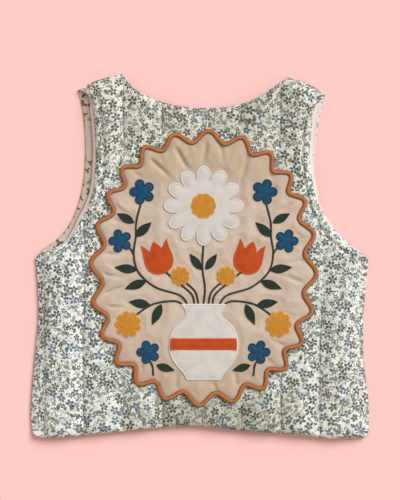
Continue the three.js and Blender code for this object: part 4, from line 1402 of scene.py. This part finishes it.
def applique_height(gap, rise):
    """The applique profile: a rounded satin edge, a dip along its inner side, and a pillowed middle."""
    return rise * np.interp(gap, *np.array(APPLIQUE_PROFILE).T)


def applique(name, slot, finish, x, y, outline, polar, base=MOTIF_BED, rise=None, extra=0.0):
    """A sewn-on shape from a grid of places: its height follows the distance in from its outline."""
    rise = millimetres("applique") if rise is None else rise
    gap = np.where(rim_mask(x.shape, polar), 0, distance(x, y, outline))
    z = base + APPLIQUE_SEAT + applique_height(gap, rise) + extra * smooth(gap / 2.5)
    run = lengths_along(outline)
    if polar:
        along = np.broadcast_to(run[None], x.shape)
    else:
        along = np.cumsum(np.hypot(np.gradient(x, axis=0), np.gradient(y, axis=0)), axis=0)
    uv = np.stack([along, gap], axis=-1)
    under = stacked(x, y, base - APPLIQUE_SUNK)
    made = shell(stacked(x, y, z), under, uv, polar=polar, bow=0.12, rings=2)
    return made.piece(name, slot, [material(finish)])


def rim_mask(shape, polar):
    mask = np.zeros(shape, bool)
    mask[-1] = True
    if not polar:
        mask[0] = True
        mask[:, [0, -1]] = True
    return mask


def round_shape(name, slot, finish, centre, outline, **heights):
    """A flower or cup, whose grid is polar."""
    x, y = np.moveaxis(polar_grid(centre, outline, APPLIQUE_RINGS), -1, 0)
    return applique(name, slot, finish, x, y, outline, polar=True, **heights)


def across_steps(width):
    """Places across a shape, closer at its edges, as -1 to 1."""
    inwards = np.array([0, 0.12, 0.3, 0.55, 0.85, 1.2, 1.6, 2.0, 2.6, 3.5, 4.8, 6.5, 9, 12, 16, 21, 27])
    shares = 1 - inwards / (width / 2)
    shares = shares[shares > 0.02]
    return np.concatenate([-shares, [0], shares[::-1]])


def sheet(outline, replaced):
    """Hides the part that a cut piece of cloth replaces, and works out its outline's size and area, which are
    not used.
    """
    size = outline.max(0) - outline.min(0)
    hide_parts(replaced)
    tuple(size * MM)
    area_of(outline) * MM**2


# Operators


def soft_light(name, place, strength, spread, tone):
    """A far, wide light that falls evenly on the garment from a place's direction."""
    lamp = bpy.data.lights.new(name, "SUN")
    lamp.energy = strength
    lamp.angle = np.radians(spread)
    lamp.color = tone
    made = bpy.data.objects.new(name, lamp)
    made.location = place
    made.rotation_mode = "QUATERNION"
    made.rotation_quaternion = (-Vector(place)).to_track_quat("-Z", "Y")
    bpy.context.scene.collection.objects.link(made)


FLOOR_REACH = 1.6
FLOOR_Z = -0.0002
SKY = {"Color": (1.0, 0.915, 0.811, 1), "Strength": 0.53}
KEY_LIGHT = {"place": (1.05, 0.95, 1.05), "strength": 3.14, "spread": 34, "tone": (0.889, 0.943, 1.0)}
CAMERA_PLACE = (0, 0.006, 2.008)
CAMERA_LENS = 144


class WAISTCOAT_OT_stage(bpy.types.Operator):
    """Sets the floor, the lights and the camera."""

    bl_idname = "waistcoat.stage"
    bl_label = "Stage"

    def execute(self, context):
        scene = context.scene
        graph = Graph("floor")
        place = graph.place()
        tone = graph.mix(graph.noise(place, 90) * 0.06, tint("floor"), (0.9, 0.6, 0.56, 1))
        floor_material = graph.finish(tone, 0.9, graph.noise(place, 2.0), 0.02, Specular_IOR_Level=0.1)
        mesh = bpy.data.meshes.new("floor")
        turns = ((-1, -1), (1, -1), (1, 1), (-1, 1))
        mesh.from_pydata([(x * FLOOR_REACH, y * FLOOR_REACH, FLOOR_Z) for x, y in turns], [], [(0, 1, 2, 3)])
        mesh.materials.append(floor_material)
        floor = bpy.data.objects.new("floor", mesh)
        scene.collection.objects.link(floor)
        world = bpy.data.worlds.new("studio")
        world.use_nodes = True
        for name, value in SKY.items():
            world.node_tree.nodes["Background"].inputs[name].default_value = value
        scene.world = world
        soft_light("key", **KEY_LIGHT)
        camera = bpy.data.cameras.new("camera")
        camera.sensor_fit = "AUTO"
        camera.sensor_width = 36
        camera.lens = CAMERA_LENS
        camera.clip_start, camera.clip_end = 0.1, 10
        made = bpy.data.objects.new("camera", camera)
        made.location = CAMERA_PLACE
        scene.collection.objects.link(made)
        scene.camera = made
        scene.view_settings.view_transform = "Standard"
        return {"FINISHED"}


class WAISTCOAT_OT_back(bpy.types.Operator):
    """Makes the quilted back."""

    bl_idname = "waistcoat.back"
    bl_label = "Back"

    def execute(self, context):
        made = quilted_back()
        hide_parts("back_panel")
        area_of(BACK_OUTLINE) * PUFFED_PATH * MM**2
        return {"FINISHED"}


class WAISTCOAT_OT_fronts(bpy.types.Operator):
    """Makes the two fronts and their linings."""

    bl_idname = "waistcoat.fronts"
    bl_label = "Fronts"

    def execute(self, context):
        for word, side in SIDES:
            front_piece(word, side)
        return {"FINISHED"}


class WAISTCOAT_OT_vase(bpy.types.Operator):
    """Makes the vase and its band."""

    bl_idname = "waistcoat.vase"
    bl_label = "Vase"

    def execute(self, context):
        low, high = VASE_SIDE[0][1], VASE_SIDE[-1][1]
        half = (high - low) / 2
        rows = np.concatenate([[0, 0.12, 0.3, 0.6, 1.0, 1.5, 2.2, 3.2], np.arange(4.6, half, 1.8)])
        rows = low + np.concatenate([rows[rows < half - 1], high - low - rows[::-1]])
        x, y = self.places(rows, 0)
        vase = applique("vase_applique", "white_cotton", "white", x, y, OUTLINES["vase"], False,
                        extra=creases(x, y, VASE_FOLDS))
        sheet(OUTLINES["vase"], "vase")
        low, high = VASE_BAND["bottom"], VASE_BAND["top"]
        rows = [*(low + np.array([0, 0.12, 0.3, 0.55, 0.9, 1.3, 1.8, 2.6, 3.8, 5])), (low + high) / 2]
        rows = np.concatenate([rows, low + high - np.array(rows)[-2::-1]])
        x, y = self.places(rows, VASE_BAND["inset"])
        outline = rim_of(np.stack([x, y], axis=-1), False)
        band = applique("vase_band_applique", "orange_cotton", "orange", x, y, outline, False,
                        base=UPPER_MOTIF_BED, rise=UPPER_MOTIF_RISE)
        sheet(outline[:-1], "vase_band")
        return {"FINISHED"}

    def places(self, rows, inset):
        """A grid of places between the vase's sides, drawn in by an inset, at heights from the centre."""
        side = curve(VASE_SIDE)
        half = np.interp(rows, side[:, 1], side[:, 0]) - inset
        x = CENTRE[0] + half[:, None] * across_steps(VASE_ACROSS)
        return x, np.broadcast_to(CENTRE[1] + rows[:, None], x.shape)


class WAISTCOAT_OT_flowers(bpy.types.Operator):
    """Makes the daisy, the tulips and the round flowers."""

    bl_idname = "waistcoat.flowers"
    bl_label = "Flowers"

    def execute(self, context):
        self.cut("daisy", "white", DAISY, 1, OUTLINES["daisy"])
        outline = mirrored(flower_outline(**DAISY_CENTRE), 1)
        self.cut("daisy_centre", "mustard", DAISY_CENTRE, 1, outline, "daisy",
                 base=UPPER_MOTIF_BED, rise=UPPER_MOTIF_RISE)
        for word, side in SIDES:
            name = f"tulip_{word}"
            self.cut(name, "orange", {"x": TULIP["x"], "y": TULIP["y"] - 2.0}, side, OUTLINES[name])
            for kind, flowers in (("blue", BLUE_FLOWERS), ("mustard", MUSTARD_FLOWERS)):
                for i, flower in enumerate(flowers, 1):
                    name = f"{kind}_flower_{i}_{word}"
                    self.cut(name, kind, flower, side, OUTLINES[name])
        return {"FINISHED"}

    def cut(self, name, finish, shape, side, outline, below="medallion_patch", **heights):
        """Makes a round sewn-on shape and hides the part that it replaces; what lies below it is not used."""
        middle = mirrored(np.array([shape["x"], shape["y"]], float), side)
        made = round_shape(f"{name}_applique", f"{finish}_cotton", finish, middle, outline, **heights)
        sheet(outline, name)


class WAISTCOAT_OT_leaves(bpy.types.Operator):
    """Makes the leaves."""

    bl_idname = "waistcoat.leaves"
    bl_label = "Leaves"

    def execute(self, context):
        for word, side in SIDES:
            for i, leaf in enumerate(LEAVES, 1):
                across = across_steps(leaf[3])
                places = mirrored(np.stack(leaf_grid(*leaf, across), axis=-1), side)
                vein = -VEIN["depth"] * bell(across * leaf[3] / 2, VEIN["half_width"])[None]
                name = f"leaf_{i}_{word}"
                made = applique(f"{name}_applique", "green_cotton", "green", *np.moveaxis(places, -1, 0),
                                OUTLINES[name], False, extra=vein)
                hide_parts(name)
        return {"FINISHED"}


STEM_HEIGHTS = (-0.35, 0.75)  # from the ground
STEM_TIP = 1.5  # length over which an end narrows


class WAISTCOAT_OT_stems(bpy.types.Operator):
    """Embroiders the stems."""

    bl_idname = "waistcoat.stems"
    bl_label = "Stems"

    def execute(self, context):
        made = Surface()
        section = oval_section(1, *STEM_HEIGHTS, 10)
        half = millimetres("stem") / 2
        for word, side in SIDES:
            # The first stem lies on the middle line and is made once
            for table in STEMS[1:] if word == "left" else STEMS:
                path = mirrored(curve(table, 1.0), side)
                run = lengths_along(path)
                ends = round_over(np.minimum(run, run[-1] - run) / STEM_TIP)
                height = patch_top(path[:, 0], path[:, 1])
                points, uv = swept(path, height, section * np.array([half, 1.0]), ends)
                made.add(points, uv)
        made.piece("stems", "green_cotton", [material("green_thread")])
        return {"FINISHED"}


class WAISTCOAT_OT_cord(bpy.types.Operator):
    """Lays the cord round the medallion."""

    bl_idname = "waistcoat.cord"
    bl_label = "Cord"

    def execute(self, context):
        line = waved_oval(0, 30)
        section = oval_section(CORD_SHOWN_HALF_WIDTH, CORD_LOW, CORD_HIGH, 20)
        points, uv = swept(line, np.zeros(len(line)), section, np.ones(len(line)))
        cord = Surface().add(points, uv).piece("medallion_piping", "cord", [material("cord")])
        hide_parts("medallion_cord")
        return {"FINISHED"}


STITCH_SPACING = 1.35  # from stitch to stitch, in stitches
STITCHES_END = 2.5  # from the garment's edge
THREAD_LIFT = 0.08


class WAISTCOAT_OT_stitching(bpy.types.Operator):
    """Sews the lines of quilting and the armholes' topstitching."""

    bl_idname = "waistcoat.stitching"
    bl_label = "Stitching"

    def execute(self, context):
        made = Surface()
        stitch = millimetres("stitch")
        pitch = stitch * STITCH_SPACING
        for line_x in STITCH_XS:
            y = np.arange(STITCH_START, 182, pitch)
            x = np.full(y.shape, float(line_x))
            self.sew(made, np.stack([x + wander(x, y), y], axis=1), stitch)
        for armhole, side in zip((BACK_LEFT_ARMHOLE, BACK_RIGHT_ARMHOLE), (1, -1)):
            line = curve(armhole, 2)[2:-2]
            offset = line + normals_of(line, closed=False) * side * ARMHOLE_STITCH_IN
            self.sew(made, evenly(offset, int(lengths_along(offset)[-1] / pitch)), stitch)
        made.piece("quilting_stitches", "print_cotton", [material("thread")])
        return {"FINISHED"}

    def sew(self, made, places, stitch):
        """Threads at places along a line, where the outside shows."""
        x, y = places.T
        rim = distance_to_any(x, y, [*BACK_FREE, *SEAMS])
        shown = inside(x, y, BACK_OUTLINE) & (rim > STITCHES_END) & ~inside(x, y, waved_oval(CORD_HALF_WIDTH))
        runs = np.gradient(places, axis=0)
        runs = runs / np.linalg.norm(runs, axis=1)[:, None]
        ahead = places + runs
        z, next_z = back_top(x, y), back_top(*ahead.T)
        slopes = np.column_stack([runs, next_z - z])
        at = np.column_stack([places, z + THREAD_LIFT])
        thread = millimetres("thread")
        beads(made, at[shown], slopes[shown], (stitch, thread, thread * 0.8))


class WAISTCOAT_OT_patch(bpy.types.Operator):
    """Makes the medallion's ground, and hides the part that it replaces."""

    bl_idname = "waistcoat.patch"
    bl_label = "Medallion"

    def execute(self, context):
        made = medallion_ground()
        sheet(waved_oval(PATCH_INSET), "medallion_patch")
        return {"FINISHED"}


class WAISTCOAT_PT_panel(bpy.types.Panel):
    """Lists the waistcoat's pieces, sizes and colours."""

    bl_idname = "WAISTCOAT_PT_panel"
    bl_label = "Waistcoat"
    bl_space_type = "VIEW_3D"
    bl_region_type = "UI"
    bl_category = "Waistcoat"

    def draw(self, context):
        for operator in OPERATORS:
            self.layout.operator(operator.bl_idname)
        for group in (context.scene.waistcoat_sizes, context.scene.waistcoat_colours):
            for name in group.__annotations__:
                self.layout.prop(group, name)


OPERATORS = [
    WAISTCOAT_OT_stage,
    WAISTCOAT_OT_back,
    WAISTCOAT_OT_fronts,
    WAISTCOAT_OT_vase,
    WAISTCOAT_OT_flowers,
    WAISTCOAT_OT_leaves,
    WAISTCOAT_OT_stems,
    WAISTCOAT_OT_cord,
    WAISTCOAT_OT_stitching,
    WAISTCOAT_OT_patch,
]
CLASSES = [WaistcoatSizes, WaistcoatColours, *OPERATORS, WAISTCOAT_PT_panel]


def register():
    for kind in CLASSES:
        bpy.utils.register_class(kind)
    bpy.types.Scene.waistcoat_sizes = PointerProperty(type=WaistcoatSizes)
    bpy.types.Scene.waistcoat_colours = PointerProperty(type=WaistcoatColours)


def unregister():
    del bpy.types.Scene.waistcoat_colours
    del bpy.types.Scene.waistcoat_sizes
    for kind in reversed(CLASSES):
        bpy.utils.unregister_class(kind)


def main():
    register()
    for operator in OPERATORS:
        group, name = operator.bl_idname.split(".")
        getattr(getattr(bpy.ops, group), name)()


if __name__ == "__main__":
    main()
